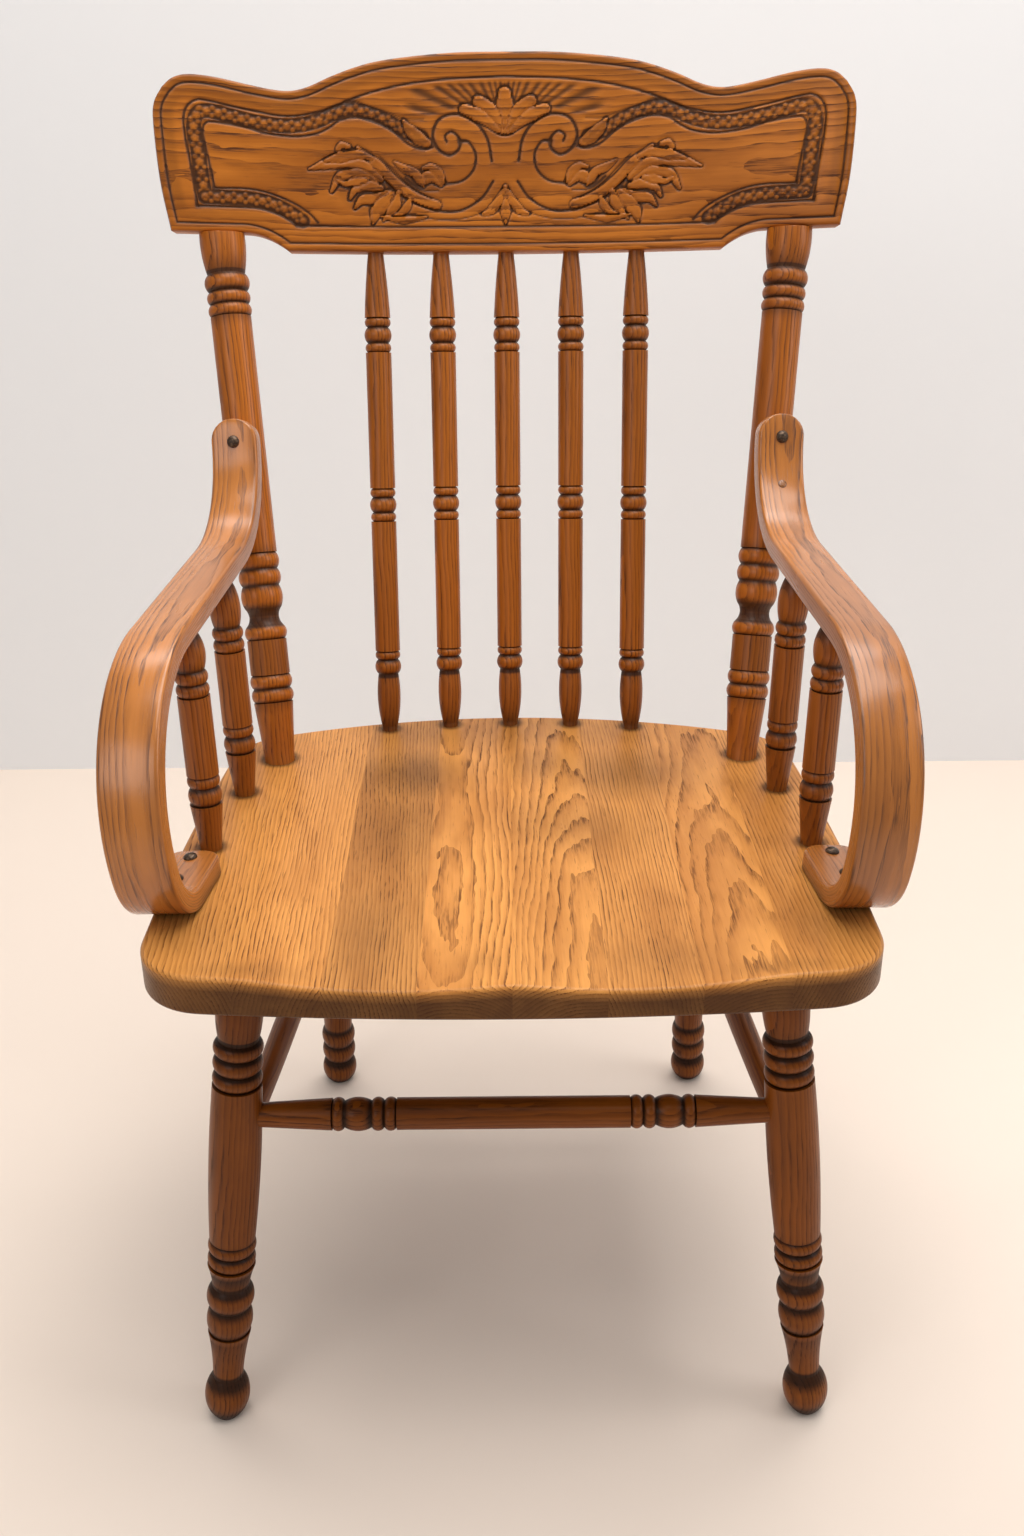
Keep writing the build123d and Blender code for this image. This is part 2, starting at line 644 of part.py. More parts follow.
def screw():
    """A dome-headed wood screw standing on the plane under its head."""
    return Pos(0, 0, FIT - SCREW_LENGTH) * turn([
        straight(SCREW_POINT_LENGTH, SCREW_POINT_DIA, SCREW_SHANK_DIA),
        straight(SCREW_LENGTH - SCREW_POINT_LENGTH, SCREW_SHANK_DIA),
        swell(SCREW_HEAD_HEIGHT, SCREW_HEAD_DIA, SCREW_HEAD_SHOULDER_DIA, SCREW_HEAD_CROWN_DIA),
    ])


def screw_hole():
    return Pos(0, 0, -SCREW_LENGTH / 2) * Cylinder(SCREW_SHANK_DIA / 2 + FIT, SCREW_LENGTH + 4 * FIT)


def post_flat():
    """The waste in front of the flat on the left post that the arm's tip lies against."""
    runout = math.sqrt(2 * (ARM_BACK_RADIUS + ARM_THICKNESS) * (ARM_BEDDING + FIT))
    length = ARM_TIP_FLAT + runout + ARM_EDGE_ROUND
    waste = Box(length, POST_DIA, REACH, align=(Align.MAX, Align.MIN, Align.CENTER))
    face = ARM_TIP - heading(POST_SLOPE + 90) * (ARM_THICKNESS / 2 + FIT)
    return ARM_FRAME * Pos(face.X, face.Y, 0) * Rot(0, 0, POST_SLOPE) * Pos(FIT, 0, 0) * waste


def arm_spindle_ends(base_x, base_y):
    """Where a left arm spindle leaves the seat and where it meets the underside of the arm."""
    x = base_y + ARM_SPINDLE_RAKE - ARM_PLANE_Y
    top = ARM_FRAME.from_local_coords((x, arm_rest_underside(x), ARM_SPINDLE_INSET))
    return (-base_x, base_y, SEAT_HEIGHT), (top.X, top.Y, top.Z)


def arm_spindle(base, top, tip_length):
    """A short spindle: tapered foot, ball and ring, a drum, two rings and an egg-shaped tip."""
    ring = bead(ARM_SPINDLE_RING_LENGTH, ARM_SPINDLE_RING_DIA, ARM_SPINDLE_GROOVE_DIA)
    foot = [
        straight(ARM_SPINDLE_SEAT_TENON + collar(base, top, ARM_SPINDLE_BASE_DIA), ARM_SPINDLE_BASE_DIA),
        straight(ARM_SPINDLE_FOOT_LENGTH, ARM_SPINDLE_BASE_DIA, ARM_SPINDLE_RING_DIA),
        bead(ARM_SPINDLE_BALL_LENGTH, ARM_SPINDLE_BALL_DIA, ARM_SPINDLE_GROOVE_DIA),
        ring,
    ]
    head = [
        ring,
        ring,
        swell(tip_length, ARM_SPINDLE_GROOVE_DIA, ARM_SPINDLE_DIA, ARM_SPINDLE_TIP_DIA),
        straight(collar(base, top, ARM_SPINDLE_TIP_DIA), ARM_SPINDLE_TIP_DIA),
    ]
    drum = distance(base, top) + ARM_SPINDLE_SEAT_TENON - stick_length(foot + head)
    tenon = straight(ARM_SPINDLE_ARM_TENON, ARM_SPINDLE_TIP_DIA)
    stick = foot + [straight(drum, ARM_SPINDLE_DIA)] + head + [tenon]
    return place_turned(stick, base, top, ARM_SPINDLE_SEAT_TENON)


# Legs and stretchers

SEAT_UNDERSIDE = SEAT_HEIGHT - SEAT_THICKNESS
FRONT_LEG = ((-FRONT_FOOT_X, FRONT_FOOT_Y, 0.0), (-FRONT_LEG_TOP_X, FRONT_LEG_TOP_Y, SEAT_UNDERSIDE))
REAR_LEG = ((-REAR_FOOT_X, REAR_FOOT_Y, 0.0), (-REAR_LEG_TOP_X, REAR_LEG_TOP_Y, SEAT_UNDERSIDE))


def standing(stick, foot, top):
    """A turned leg, cut flat where it stands on the floor."""
    below_floor = Box(REACH, REACH, REACH, align=(Align.CENTER, Align.CENTER, Align.MAX))
    return place_turned(stick, foot, top, FOOT_SINK) - below_floor


def front_leg_stick():
    """The front leg from its foot: ball, neck, band, cove, rings, a long barrel and a ringed top."""
    ring = bead(LEG_RING_LENGTH, LEG_RING_DIA, LEG_GROOVE_DIA)
    lower = [
        swell(LEG_BALL_LENGTH + FOOT_SINK, LEG_BALL_POINT_DIA, LEG_BALL_DIA, LEG_NECK_DIA),
        swell(LEG_NECK_LENGTH, LEG_NECK_DIA, LEG_NECK_MIDDLE_DIA, LEG_NECK_TOP_DIA),
        bead(LEG_BAND_LENGTH, LEG_BAND_DIA, LEG_GROOVE_DIA),
        swell(LEG_SHOULDER_LENGTH, LEG_GROOVE_DIA, LEG_RING_DIA, LEG_COVE_DIA),
        swell(LEG_BELL_LENGTH, LEG_COVE_DIA, LEG_BELL_MIDDLE_DIA, LEG_RING_DIA),
        ring,
        ring,
    ]
    upper = [
        ring,
        bead(LEG_TOP_BALL_LENGTH, LEG_RING_DIA, LEG_GROOVE_DIA),
        ring,
        swell(LEG_TOP_LENGTH, LEG_GROOVE_DIA, LEG_TOP_DIA, LEG_TENON_DIA),
        straight(LEG_TENON + collar(*FRONT_LEG, LEG_TENON_DIA), LEG_TENON_DIA),
    ]
    barrel = distance(*FRONT_LEG) + FOOT_SINK + LEG_TENON - stick_length(lower + upper)
    return lower + [swell(barrel, LEG_BARREL_FOOT_DIA, LEG_BARREL_DIA, LEG_RING_DIA)] + upper


def rear_leg_stick():
    """The rear leg from its foot: ball, two bands and a plain swelling shaft."""
    band = bead(REAR_RING_LENGTH, REAR_RING_DIA, REAR_SHAFT_FOOT_DIA)
    lower = [
        swell(REAR_BALL_LENGTH + FOOT_SINK, LEG_BALL_POINT_DIA, LEG_BALL_DIA, LEG_NECK_DIA),
        band,
        band,
    ]
    neck = collar(*REAR_LEG, LEG_TENON_DIA)
    shaft = distance(*REAR_LEG) + FOOT_SINK - neck - stick_length(lower)
    return lower + [
        swell(shaft, REAR_SHAFT_FOOT_DIA, REAR_SHAFT_DIA, LEG_TENON_DIA),
        straight(neck + LEG_TENON, LEG_TENON_DIA),
    ]


def dia_at(stick, reach):
    """Diameter of a stick at a distance from its bottom end, with a parabola for each shallow arc."""
    for length, dia, middle_dia, end_dia in stick:
        if reach <= length:
            break
        reach -= length
    share = reach / length
    middle_dia = (dia + end_dia) / 2 if middle_dia is None else middle_dia
    bow = middle_dia - (dia + end_dia) / 2
    return dia + share * (end_dia - dia) + 4 * bow * share * (1 - share)


class LegSocket:
    """Where a stretcher meets a leg: the point on the leg's axis and the leg's diameter there."""

    def __init__(self, stick, leg, height):
        self.at = at_height(*leg, height)
        self.dia = dia_at(stick, FOOT_SINK + distance(leg[0], self.at))

    def opposite(self):
        """The same place on the other side of the chair."""
        twin = copy(self)
        twin.at = (-self.at[0], self.at[1], self.at[2])
        return twin


def faces_between(first, second):
    """Where the line between two leg sockets leaves the first leg and enters the second."""
    span = distance(first.at, second.at)
    start = point_between(first.at, second.at, first.dia / 2 / span)
    end = point_between(second.at, first.at, second.dia / 2 / span)
    return start, end


FRONT_SOCKET = LegSocket(front_leg_stick(), FRONT_LEG, FRONT_STRETCHER_HEIGHT)
REAR_SOCKET = LegSocket(rear_leg_stick(), REAR_LEG, REAR_STRETCHER_HEIGHT)
FRONT_STRETCHER = faces_between(FRONT_SOCKET, FRONT_SOCKET.opposite())
REAR_STRETCHER = faces_between(REAR_SOCKET, REAR_SOCKET.opposite())
SIDE_STRETCHER = faces_between(
    LegSocket(front_leg_stick(), FRONT_LEG, SIDE_STRETCHER_HEIGHT),
    LegSocket(rear_leg_stick(), REAR_LEG, SIDE_STRETCHER_HEIGHT),
)


def front_stretcher():
    """The ringed rail between the front legs."""
    ring = bead(STRETCHER_RING_LENGTH, STRETCHER_RING_DIA, STRETCHER_GROOVE_DIA)
    left = [
        straight(STRETCHER_TENON, STRETCHER_END_DIA),
        straight(STRETCHER_TAPER_LENGTH, STRETCHER_END_DIA, STRETCHER_DIA),
        ring,
        bead(STRETCHER_BARREL_LENGTH, STRETCHER_RING_DIA, STRETCHER_GROOVE_DIA),
        ring,
        ring,
    ]
    right = [(length, end, middle, start) for length, start, middle, end in reversed(left)]
    drum = distance(*FRONT_STRETCHER) + 2 * STRETCHER_TENON - stick_length(left + right)
    return place_turned(left + [straight(drum, STRETCHER_DIA)] + right, *FRONT_STRETCHER, STRETCHER_TENON)


def plain_stretcher(start, end):
    """A rail that swells gently towards its middle."""
    tenon = straight(STRETCHER_TENON, PLAIN_STRETCHER_END_DIA)
    body = swell(distance(start, end), PLAIN_STRETCHER_END_DIA, PLAIN_STRETCHER_DIA, PLAIN_STRETCHER_END_DIA)
    return place_turned([tenon, body, tenon], start, end, STRETCHER_TENON)


# Assembly

ARM_SPINDLES = {
    "front": arm_spindle_ends(ARM_SPINDLE_FRONT_X, ARM_SPINDLE_FRONT_Y),
    "rear": arm_spindle_ends(ARM_SPINDLE_REAR_X, ARM_SPINDLE_REAR_Y),
}
ARM_SPINDLE_TIPS = {
    "front": ARM_SPINDLE_FRONT_TIP_LENGTH,
    "rear": ARM_SPINDLE_REAR_TIP_LENGTH,
}
SPINDLES = [spindle_ends(index) for index in range(SPINDLE_COUNT)]


def both_sides(cuts):
    return cuts + [mirrored(cut) for cut in cuts]


def seat_sockets():
    cuts = [socket(POST_BASE, POST_TOP, POST_BASE_DIA, POST_BASE_TENON)]
    for base, top in ARM_SPINDLES.values():
        cuts.append(socket(base, top, ARM_SPINDLE_BASE_DIA, ARM_SPINDLE_SEAT_TENON))
    cuts += [socket(top, foot, LEG_TENON_DIA, LEG_TENON) for foot, top in (FRONT_LEG, REAR_LEG)]
    cuts += [frame * screw_hole() for frame in foot_screw_frames()]
    spindles = [socket(base, top, SPINDLE_END_DIA, SPINDLE_SEAT_TENON) for base, top in SPINDLES]
    return both_sides(cuts) + spindles


def crest_sockets():
    posts = both_sides([socket(POST_TOP, POST_BASE, POST_TOP_TENON_DIA, POST_TOP_TENON)])
    return posts + [socket(top, base, SPINDLE_END_DIA, SPINDLE_CREST_TENON) for base, top in SPINDLES]


def arm():
    """The left arm, planed flat on the seat and bored for its screws and spindles."""
    below_seat = Pos(0, 0, SEAT_HEIGHT) * Box(
        REACH, REACH, REACH, align=(Align.CENTER, Align.CENTER, Align.MAX))
    cuts = [frame * screw_hole() for frame in foot_screw_frames() + [tip_screw_frame()]]
    for base, top in ARM_SPINDLES.values():
        cuts.append(socket(top, base, ARM_SPINDLE_TIP_DIA, ARM_SPINDLE_ARM_TENON))
    return cut_all(ARM_FRAME * bent_band() - below_seat, cuts)


def chair():
    """Every piece of the chair under its name."""
    pieces = {}

    def add_pair(name, shape):
        pieces[name + "_left"] = shape
        pieces[name + "_right"] = mirrored(shape)

    for number, board in enumerate(seat_boards(cut_all(seat_blank(), seat_sockets())), start=1):
        pieces[f"seat_board_{number}"] = board
    pieces["crest_rail"] = crest_rail(crest_sockets())
    add_pair("back_post", back_post() - post_flat() - tip_screw_frame() * screw_hole())
    for number, (base, top) in enumerate(SPINDLES, start=1):
        pieces[f"back_spindle_{number}"] = back_spindle(base, top)
    add_pair("arm", arm())
    for name, (base, top) in ARM_SPINDLES.items():
        add_pair(f"arm_spindle_{name}", arm_spindle(base, top, ARM_SPINDLE_TIPS[name]))
    leg_cuts = [socket(FRONT_STRETCHER[0], FRONT_STRETCHER[1], STRETCHER_END_DIA, STRETCHER_TENON),
                socket(SIDE_STRETCHER[0], SIDE_STRETCHER[1], PLAIN_STRETCHER_END_DIA, STRETCHER_TENON)]
    add_pair("front_leg", cut_all(standing(front_leg_stick(), *FRONT_LEG), leg_cuts))
    rear_cuts = [socket(SIDE_STRETCHER[1], SIDE_STRETCHER[0], PLAIN_STRETCHER_END_DIA, STRETCHER_TENON),
                 socket(REAR_STRETCHER[0], REAR_STRETCHER[1], PLAIN_STRETCHER_END_DIA, STRETCHER_TENON)]
    add_pair("rear_leg", cut_all(standing(rear_leg_stick(), *REAR_LEG), rear_cuts))
    pieces["front_stretcher"] = front_stretcher()
    add_pair("side_stretcher", plain_stretcher(*SIDE_STRETCHER))
    pieces["rear_stretcher"] = plain_stretcher(*REAR_STRETCHER)
    foot_screws = both_sides([frame * screw() for frame in foot_screw_frames()])
    pieces["arm_foot_screws"] = Compound(foot_screws)
    pieces["arm_tip_screws"] = Compound(both_sides([tip_screw_frame() * screw()]))
    return pieces


def main():
    os.makedirs("parts", exist_ok=True)
    pieces = chair()
    boxes = [piece.bounding_box() for piece in pieces.values()]
    middle_y = (min(box.min.Y for box in boxes) + max(box.max.Y for box in boxes)) / 2
    for name, piece in pieces.items():
        export_step(Pos(0, -middle_y, 0) * piece, f"parts/{name}.step")


main()
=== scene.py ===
"""Looks of the press back armchair: turned oak, a pressed crest, a saddle seat and bentwood arms.

Sizes are millimetres in the chair's own frame: X to the right, Y back from the seat's front edge, Z up from
the floor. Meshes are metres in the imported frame.
"""
import logging
import math
from dataclasses import dataclass, field
from enum import Enum
from typing import Callable, Iterable, NamedTuple

import bmesh
import bpy
import numpy as np
from mathutils import Euler, Matrix, Vector
from mathutils.geometry import convex_hull_2d


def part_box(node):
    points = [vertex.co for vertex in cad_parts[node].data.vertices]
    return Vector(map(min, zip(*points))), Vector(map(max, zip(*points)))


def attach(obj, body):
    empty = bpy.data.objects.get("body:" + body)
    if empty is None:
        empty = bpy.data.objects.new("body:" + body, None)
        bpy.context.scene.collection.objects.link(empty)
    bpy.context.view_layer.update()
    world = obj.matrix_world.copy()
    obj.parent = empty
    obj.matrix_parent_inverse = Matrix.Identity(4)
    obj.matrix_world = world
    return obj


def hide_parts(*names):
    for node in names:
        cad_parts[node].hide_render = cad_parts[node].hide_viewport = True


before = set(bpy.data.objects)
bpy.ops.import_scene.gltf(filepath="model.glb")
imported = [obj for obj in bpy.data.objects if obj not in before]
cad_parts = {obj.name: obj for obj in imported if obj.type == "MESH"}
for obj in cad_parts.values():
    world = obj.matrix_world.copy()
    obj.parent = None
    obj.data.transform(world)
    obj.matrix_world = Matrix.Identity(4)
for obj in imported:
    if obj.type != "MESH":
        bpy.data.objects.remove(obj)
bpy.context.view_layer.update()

MM = 0.001
BODY = "root"
SEAT_BOARD_COUNT = 8
SIDES = {"left": -1.0, "right": 1.0}
log = logging.getLogger("armchair")

Array = np.ndarray
Point = tuple[float, float]
Place = tuple[float, float, float]
Ends = tuple[Place, Place]
Socket = bpy.types.NodeSocket
Feed = Socket | float | str | tuple[float, ...]
Feeds = dict[str | int, Feed]
SocketList = tuple[tuple[str, str], ...]
Trim = Callable[[Array, Array], Array]
FLOAT, VECTOR, COLOUR = "NodeSocketFloat", "NodeSocketVector", "NodeSocketColor"
TURN_RADIUS, FACING = "turn_radius", "facing"


def seat_front_y() -> float:
    """Y of the seat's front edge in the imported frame, in metres."""
    return min(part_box(f"seat_board_{number}")[0].y for number in range(1, SEAT_BOARD_COUNT + 1))


FRAME_SHIFT = np.array([0.0, seat_front_y(), 0.0])


def to_frame(points: Array) -> Array:
    """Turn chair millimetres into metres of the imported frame."""
    return np.asarray(points, float) * MM + FRAME_SHIFT


def placed(name: str, data: bpy.types.ID) -> bpy.types.Object:
    """Put an object into the scene.

    Args:
        name: its name.
        data: its mesh, lamp or camera.

    Returns:
        The object.
    """
    thing = bpy.data.objects.new(name, data)
    bpy.context.scene.collection.objects.link(thing)
    return thing


def paint_on(mesh: bpy.types.Mesh, name: str, values: Array) -> None:
    """Give a mesh an attribute.

    Args:
        mesh: the mesh.
        name: the attribute's name.
        values: a number or a vector for each corner.
    """
    values = np.asarray(values, float)
    kind, label = ("FLOAT_VECTOR", "vector") if values.ndim == 2 else ("FLOAT", "value")
    mesh.attributes.new(name, kind, "POINT").data.foreach_set(label, values.ravel())


def tube_faces(rings: int, count: int) -> list[tuple[int, ...]]:
    """Faces between rings of corners that follow one another.

    Args:
        rings: how many rings there are.
        count: how many corners each ring has.

    Returns:
        The faces, with four corners each.
    """
    faces = []
    for low in range(0, (rings - 1) * count, count):
        for i in range(count):
            j = (i + 1) % count
            faces.append((low + i, low + j, low + count + j, low + count + i))
    return faces


def end_faces(rings: int, count: int) -> list[tuple[int, ...]]:
    """The two faces that close the ends of a tube of rings."""
    return [tuple(range(first, first + count)) for first in (0, (rings - 1) * count)]


def travelled(line: Array) -> Array:
    """The length along a drawn line at each of its points."""
    return np.concatenate([[0.0], np.cumsum(np.linalg.norm(np.diff(line, axis=0), axis=1))])


def respaced(line: Array, stops: Array) -> Array:
    """The points of a drawn line at given lengths along it."""
    return np.stack([np.interp(stops, travelled(line), line[:, axis]) for axis in (0, 1)], axis=1)


def smooth_step(low: float, high: float, value: Array) -> Array:
    """A soft step from 0 below low to 1 above high."""
    share = np.clip((value - low) / (high - low), 0.0, 1.0)
    return share * share * (3.0 - 2.0 * share)


def bell(gap: Array, width: float | Array) -> Array:
    """A soft hump that fades away over a width."""
    return np.exp(-(gap / width)**2)


def dome(gap: Array, radius: float | Array) -> Array:
    """A round hump that ends at a radius."""
    return np.clip(1.0 - (gap / radius)**2, 0.0, 1.0)


def spline(points: Iterable[Point], step: float = 1.0) -> Array:
    """Draw a smooth curve through a few points.

    Args:
        points: the points that the curve passes through, in order.
        step: the spacing of the drawn points.

    Returns:
        The drawn points, one row each.
    """
    knots = np.array(list(points), float)
    before = 2 * knots[0] - knots[1]
    after = 2 * knots[-1] - knots[-2]
    padded = np.vstack([before, knots, after])
    drawn = []
    for p0, p1, p2, p3 in zip(padded, padded[1:], padded[2:], padded[3:]):
        count = max(2, int(np.linalg.norm(p2 - p1) / step))
        t = np.linspace(0.0, 1.0, count, endpoint=False)[:, None]
        drawn.append(0.5 * (2 * p1 + (p2 - p0) * t + (2 * p0 - 5 * p1 + 4 * p2 - p3) * t**2
                            + (3 * p1 - p0 - 3 * p2 + p3) * t**3))
    return np.vstack(drawn + [knots[-1:]])


def nearest_on(line: Array, points: Array) -> tuple[Array, Array, Array]:
    """Find the nearest place of a drawn line to each point.

    Args:
        line: the line's points, in order.
        points: the points to look from.

    Returns:
        The distance, the length along the line and the side, each with one value per point.
    """
    starts, ends = line[:-1], line[1:]
    runs = ends - starts
    lengths = np.linalg.norm(runs, axis=1)
    distance = np.full(len(points), np.inf)
    along = np.zeros(len(points))
    side = np.ones(len(points))
    for start, run, length, before in zip(starts, runs, lengths, travelled(line)):
        offset = points - start
        share = np.clip(offset @ run / length**2, 0.0, 1.0)
        gap = offset - share[:, None] * run
        reach = np.hypot(gap[:, 0], gap[:, 1])
        closer = reach < distance
        distance[closer] = reach[closer]
        along[closer] = before + share[closer] * length
        turn = run[0] * offset[:, 1] - run[1] * offset[:, 0]
        side[closer] = np.sign(turn[closer])
    return distance, along, side


# Shader groups and finishes

class Streak(NamedTuple):
    """Noise drawn out along the grain: its stretch, shift, scale, detail and roughness."""

    stretch: float
    shift: Place
    scale: float
    detail: float
    roughness: float


class Kit:
    """Short ways to place and join the nodes of one tree."""

    def __init__(self, tree: bpy.types.NodeTree) -> None:
        """Work on a tree."""
        self.tree = tree

    def put(self, kind: str, feeds: Feeds | None = None, **settings: object) -> bpy.types.Node:
        """Place a node.

        Args:
            kind: the node's type.
            feeds: what goes into its sockets, by name or number.
            settings: the node's own properties.

        Returns:
            The node.
        """
        node = self.tree.nodes.new(kind)
        for name, value in settings.items():
            setattr(node, name, value)
        for socket, value in (feeds or {}).items():
            self.feed(node.inputs[socket], value)
        return node

    def feed(self, socket: Socket, value: Feed) -> None:
        """Link an output to a socket, or set the socket's own value.

        Args:
            socket: the socket.
            value: an output of another node, or a plain value.
        """
        if isinstance(value, Socket):
            self.tree.links.new(value, socket)
        else:
            socket.default_value = value

    def math(self, operation: str, first: Feed, second: Feed, clamp: bool = False) -> Socket:
        """Place a Math node and return its result."""
        node = self.put("ShaderNodeMath", {0: first, 1: second}, operation=operation, use_clamp=clamp)
        return node.outputs[0]

    def product(self, first: Feed, second: Feed) -> Socket:
        """Multiply two values."""
        return self.math("MULTIPLY", first, second)

    def total(self, first: Feed, second: Feed) -> Socket:
        """Add two values."""
        return self.math("ADD", first, second)

    def scaled(self, vector: Feed, factors: Place, shift: Place = (0.0, 0.0, 0.0)) -> Socket:
        """Stretch and shift a vector."""
        feeds = {"Vector": vector, "Scale": factors, "Location": shift}
        return self.put("ShaderNodeMapping", feeds, vector_type="POINT").outputs[0]

    def noise(self, vector: Feed, scale: float, detail: float, roughness: float) -> Socket:
        """Place a Noise texture and return its value."""
        feeds = {"Vector": vector, "Scale": scale, "Detail": detail, "Roughness": roughness}
        return self.put("ShaderNodeTexNoise", feeds).outputs["Fac"]

    def streaks(self, grain: Feed, streak: Streak) -> Socket:
        """Draw noise out along the grain."""
        drawn_out = self.scaled(grain, (1.0, 1.0, streak.stretch), streak.shift)
        return self.noise(drawn_out, streak.scale, streak.detail, streak.roughness)

    def ramp(self, value: Feed, low: float, high: float, start: float = 0.0, end: float = 1.0) -> Socket:
        """Map a range of a value softly to another range."""
        feeds = {"Value": value, "From Min": low, "From Max": high, "To Min": start, "To Max": end}
        return self.put("ShaderNodeMapRange", feeds, interpolation_type="SMOOTHSTEP").outputs["Result"]

    def mix(self, share: Feed, first: Feed, second: Feed) -> Socket:
        """Mix two colours."""
        return self.put("ShaderNodeMix", {0: share, 6: first, 7: second}, data_type="RGBA").outputs[2]


def shader_group(name: str, inputs: SocketList, outputs: SocketList) -> tuple[bpy.types.NodeTree, Kit, dict]:
    """Start a shader node group with named sockets.

    Args:
        name: the group's name.
        inputs: name and socket type of each input.
        outputs: name and socket type of each output.

    Returns:
        The tree, its kit, and its input sockets by name with the output node under "out".
    """
    tree = bpy.data.node_groups.new(name, "ShaderNodeTree")
    for label, kind in inputs:
        tree.interface.new_socket(label, in_out="INPUT", socket_type=kind)
    for label, kind in outputs:
        tree.interface.new_socket(label, in_out="OUTPUT", socket_type=kind)
    kit = Kit(tree)
    source = kit.put("NodeGroupInput")
    sockets = {label: source.outputs[label] for label, _ in inputs}
    sockets["out"] = kit.put("NodeGroupOutput")
    return tree, kit, sockets


CLOUDS = Streak(0.30, (0.3, 0.1, 0.7), 14.0, 4.0, 0.58)
FIBRES = Streak(0.016, (0.0, 0.0, 0.0), 520.0, 3.0, 0.6)
PORE_DASHES = Streak(0.045, (0.1, 0.4, 0.2), 760.0, 3.0, 0.6)
RING_DRIFT = Streak(0.2, (0.7, 0.2, 0.4), 38.0, 2.0, 0.5)
RING_STRETCH = 0.24
RING_WANDER = 9.0


def oak_figure_group() -> bpy.types.NodeTree:
    """Growth rings, open pores and slow changes of tone, with the grain along the vector's Z.

    Returns:
        The group's tree.
    """
    tree, kit, at = shader_group(
        "oak_figure",
        (("Grain", VECTOR), ("Ring Scale", FLOAT), ("Early", COLOUR), ("Late", COLOUR), ("Pore", COLOUR),
         ("Figure", FLOAT), ("Pores", FLOAT)),
        (("Color", COLOUR), ("Pore Mask", FLOAT), ("Cloud", FLOAT)),
    )
    grain = at["Grain"]
    rings = kit.put("ShaderNodeTexWave", {
        "Vector": kit.scaled(grain, (1.0, 1.0, RING_STRETCH)), "Scale": at["Ring Scale"], "Distortion": 20.0,
        "Detail": 5.0, "Detail Roughness": 0.62,
        "Detail Scale": kit.math("DIVIDE", RING_WANDER, at["Ring Scale"]),
    }, wave_type="RINGS", rings_direction="Z", wave_profile="SAW")
    ring = rings.outputs["Fac"]
    summer = kit.ramp(ring, 0.05, 0.75)
    kinds = CLOUDS, FIBRES, PORE_DASHES, RING_DRIFT
    cloud, fibre, dashes, wander = (kit.streaks(grain, kind) for kind in kinds)
    open_pores = kit.ramp(dashes, 0.44, 0.58)
    line = kit.product(kit.ramp(ring, 0.58, 0.92), kit.ramp(wander, 0.32, 0.66, 0.35, 1.0))
    ringed = kit.product(line, kit.total(0.16, kit.product(open_pores, 0.84)))
    stray = kit.product(kit.ramp(dashes, 0.60, 0.72), 0.50)
    pores = kit.math("MAXIMUM", ringed, stray)
    flecks = kit.product(kit.math("SUBTRACT", fibre, 0.5), 0.9)
    share = kit.math("ADD", kit.product(summer, at["Figure"]), flecks, clamp=True)
    colour = kit.mix(share, at["Early"], at["Late"])
    colour = kit.mix(kit.product(kit.ramp(cloud, 0.40, 0.66), 0.55), colour, at["Late"])
    colour = kit.mix(kit.product(pores, at["Pores"]), colour, at["Pore"])
    for label, value in (("Color", colour), ("Pore Mask", pores), ("Cloud", cloud)):
        kit.feed(at["out"].inputs[label], value)
    return tree


def patina_and_shade_group() -> bpy.types.NodeTree:
    """Darkening in recesses and in patches, partly painted shade, and a tone for the whole piece.

    Returns:
        The group's tree.
    """
    tree, kit, at = shader_group(
        "patina_and_shade",
        (("Color", COLOUR), ("DirtAndShade", COLOUR), ("Recess", FLOAT), ("StainAndShade", FLOAT), ("Tone", FLOAT),
         ("Cloud", FLOAT)),
        (("Color", COLOUR), ("RecessDarkening", FLOAT)),
    )
    uneven = kit.product(kit.math("SUBTRACT", at["Cloud"], 0.5), 0.5)
    # Darkening in recesses; at the joints of the seat, the arms and the plug it is painted contact shade.
    recess_darkening = kit.ramp(kit.total(at["Recess"], kit.product(uneven, at["Recess"])), 0.05, 0.85)
    shade = kit.total(1.0, at["Tone"])
    toned = kit.put("ShaderNodeVectorMath", {0: at["Color"], "Scale": shade}, operation="SCALE")
    # Darkening in patches and on edges, partly painted shade on the seat and the crest rail.
    spread = kit.math("MULTIPLY", at["StainAndShade"], kit.total(0.75, uneven), clamp=True)
    colour = kit.mix(kit.product(spread, 0.90), toned.outputs[0], at["DirtAndShade"])
    colour = kit.mix(kit.product(recess_darkening, 0.88), colour, at["DirtAndShade"])
    for label, value in (("Color", colour), ("RecessDarkening", recess_darkening)):
        kit.feed(at["out"].inputs[label], value)
    return tree


def fresh_material(name: str) -> tuple[bpy.types.Material, Kit]:
    """Start a material with an empty tree.

    Args:
        name: the material's name.
    """
    material = bpy.data.materials.new(name)
    material.use_nodes = True
    material.node_tree.nodes.clear()
    return material, Kit(material.node_tree)


class Paint(Enum):
    """The attributes that a wooden piece carries for its finish."""

    GRAIN = "grain"
    # recess: darker in recesses, and painted contact shade at joints; stain_and_shade: staining with painted
    # shade; tone: a tone for the piece.
    RECESS = "recess"
    STAIN_AND_SHADE = "stain_and_shade"
    TONE = "tone"


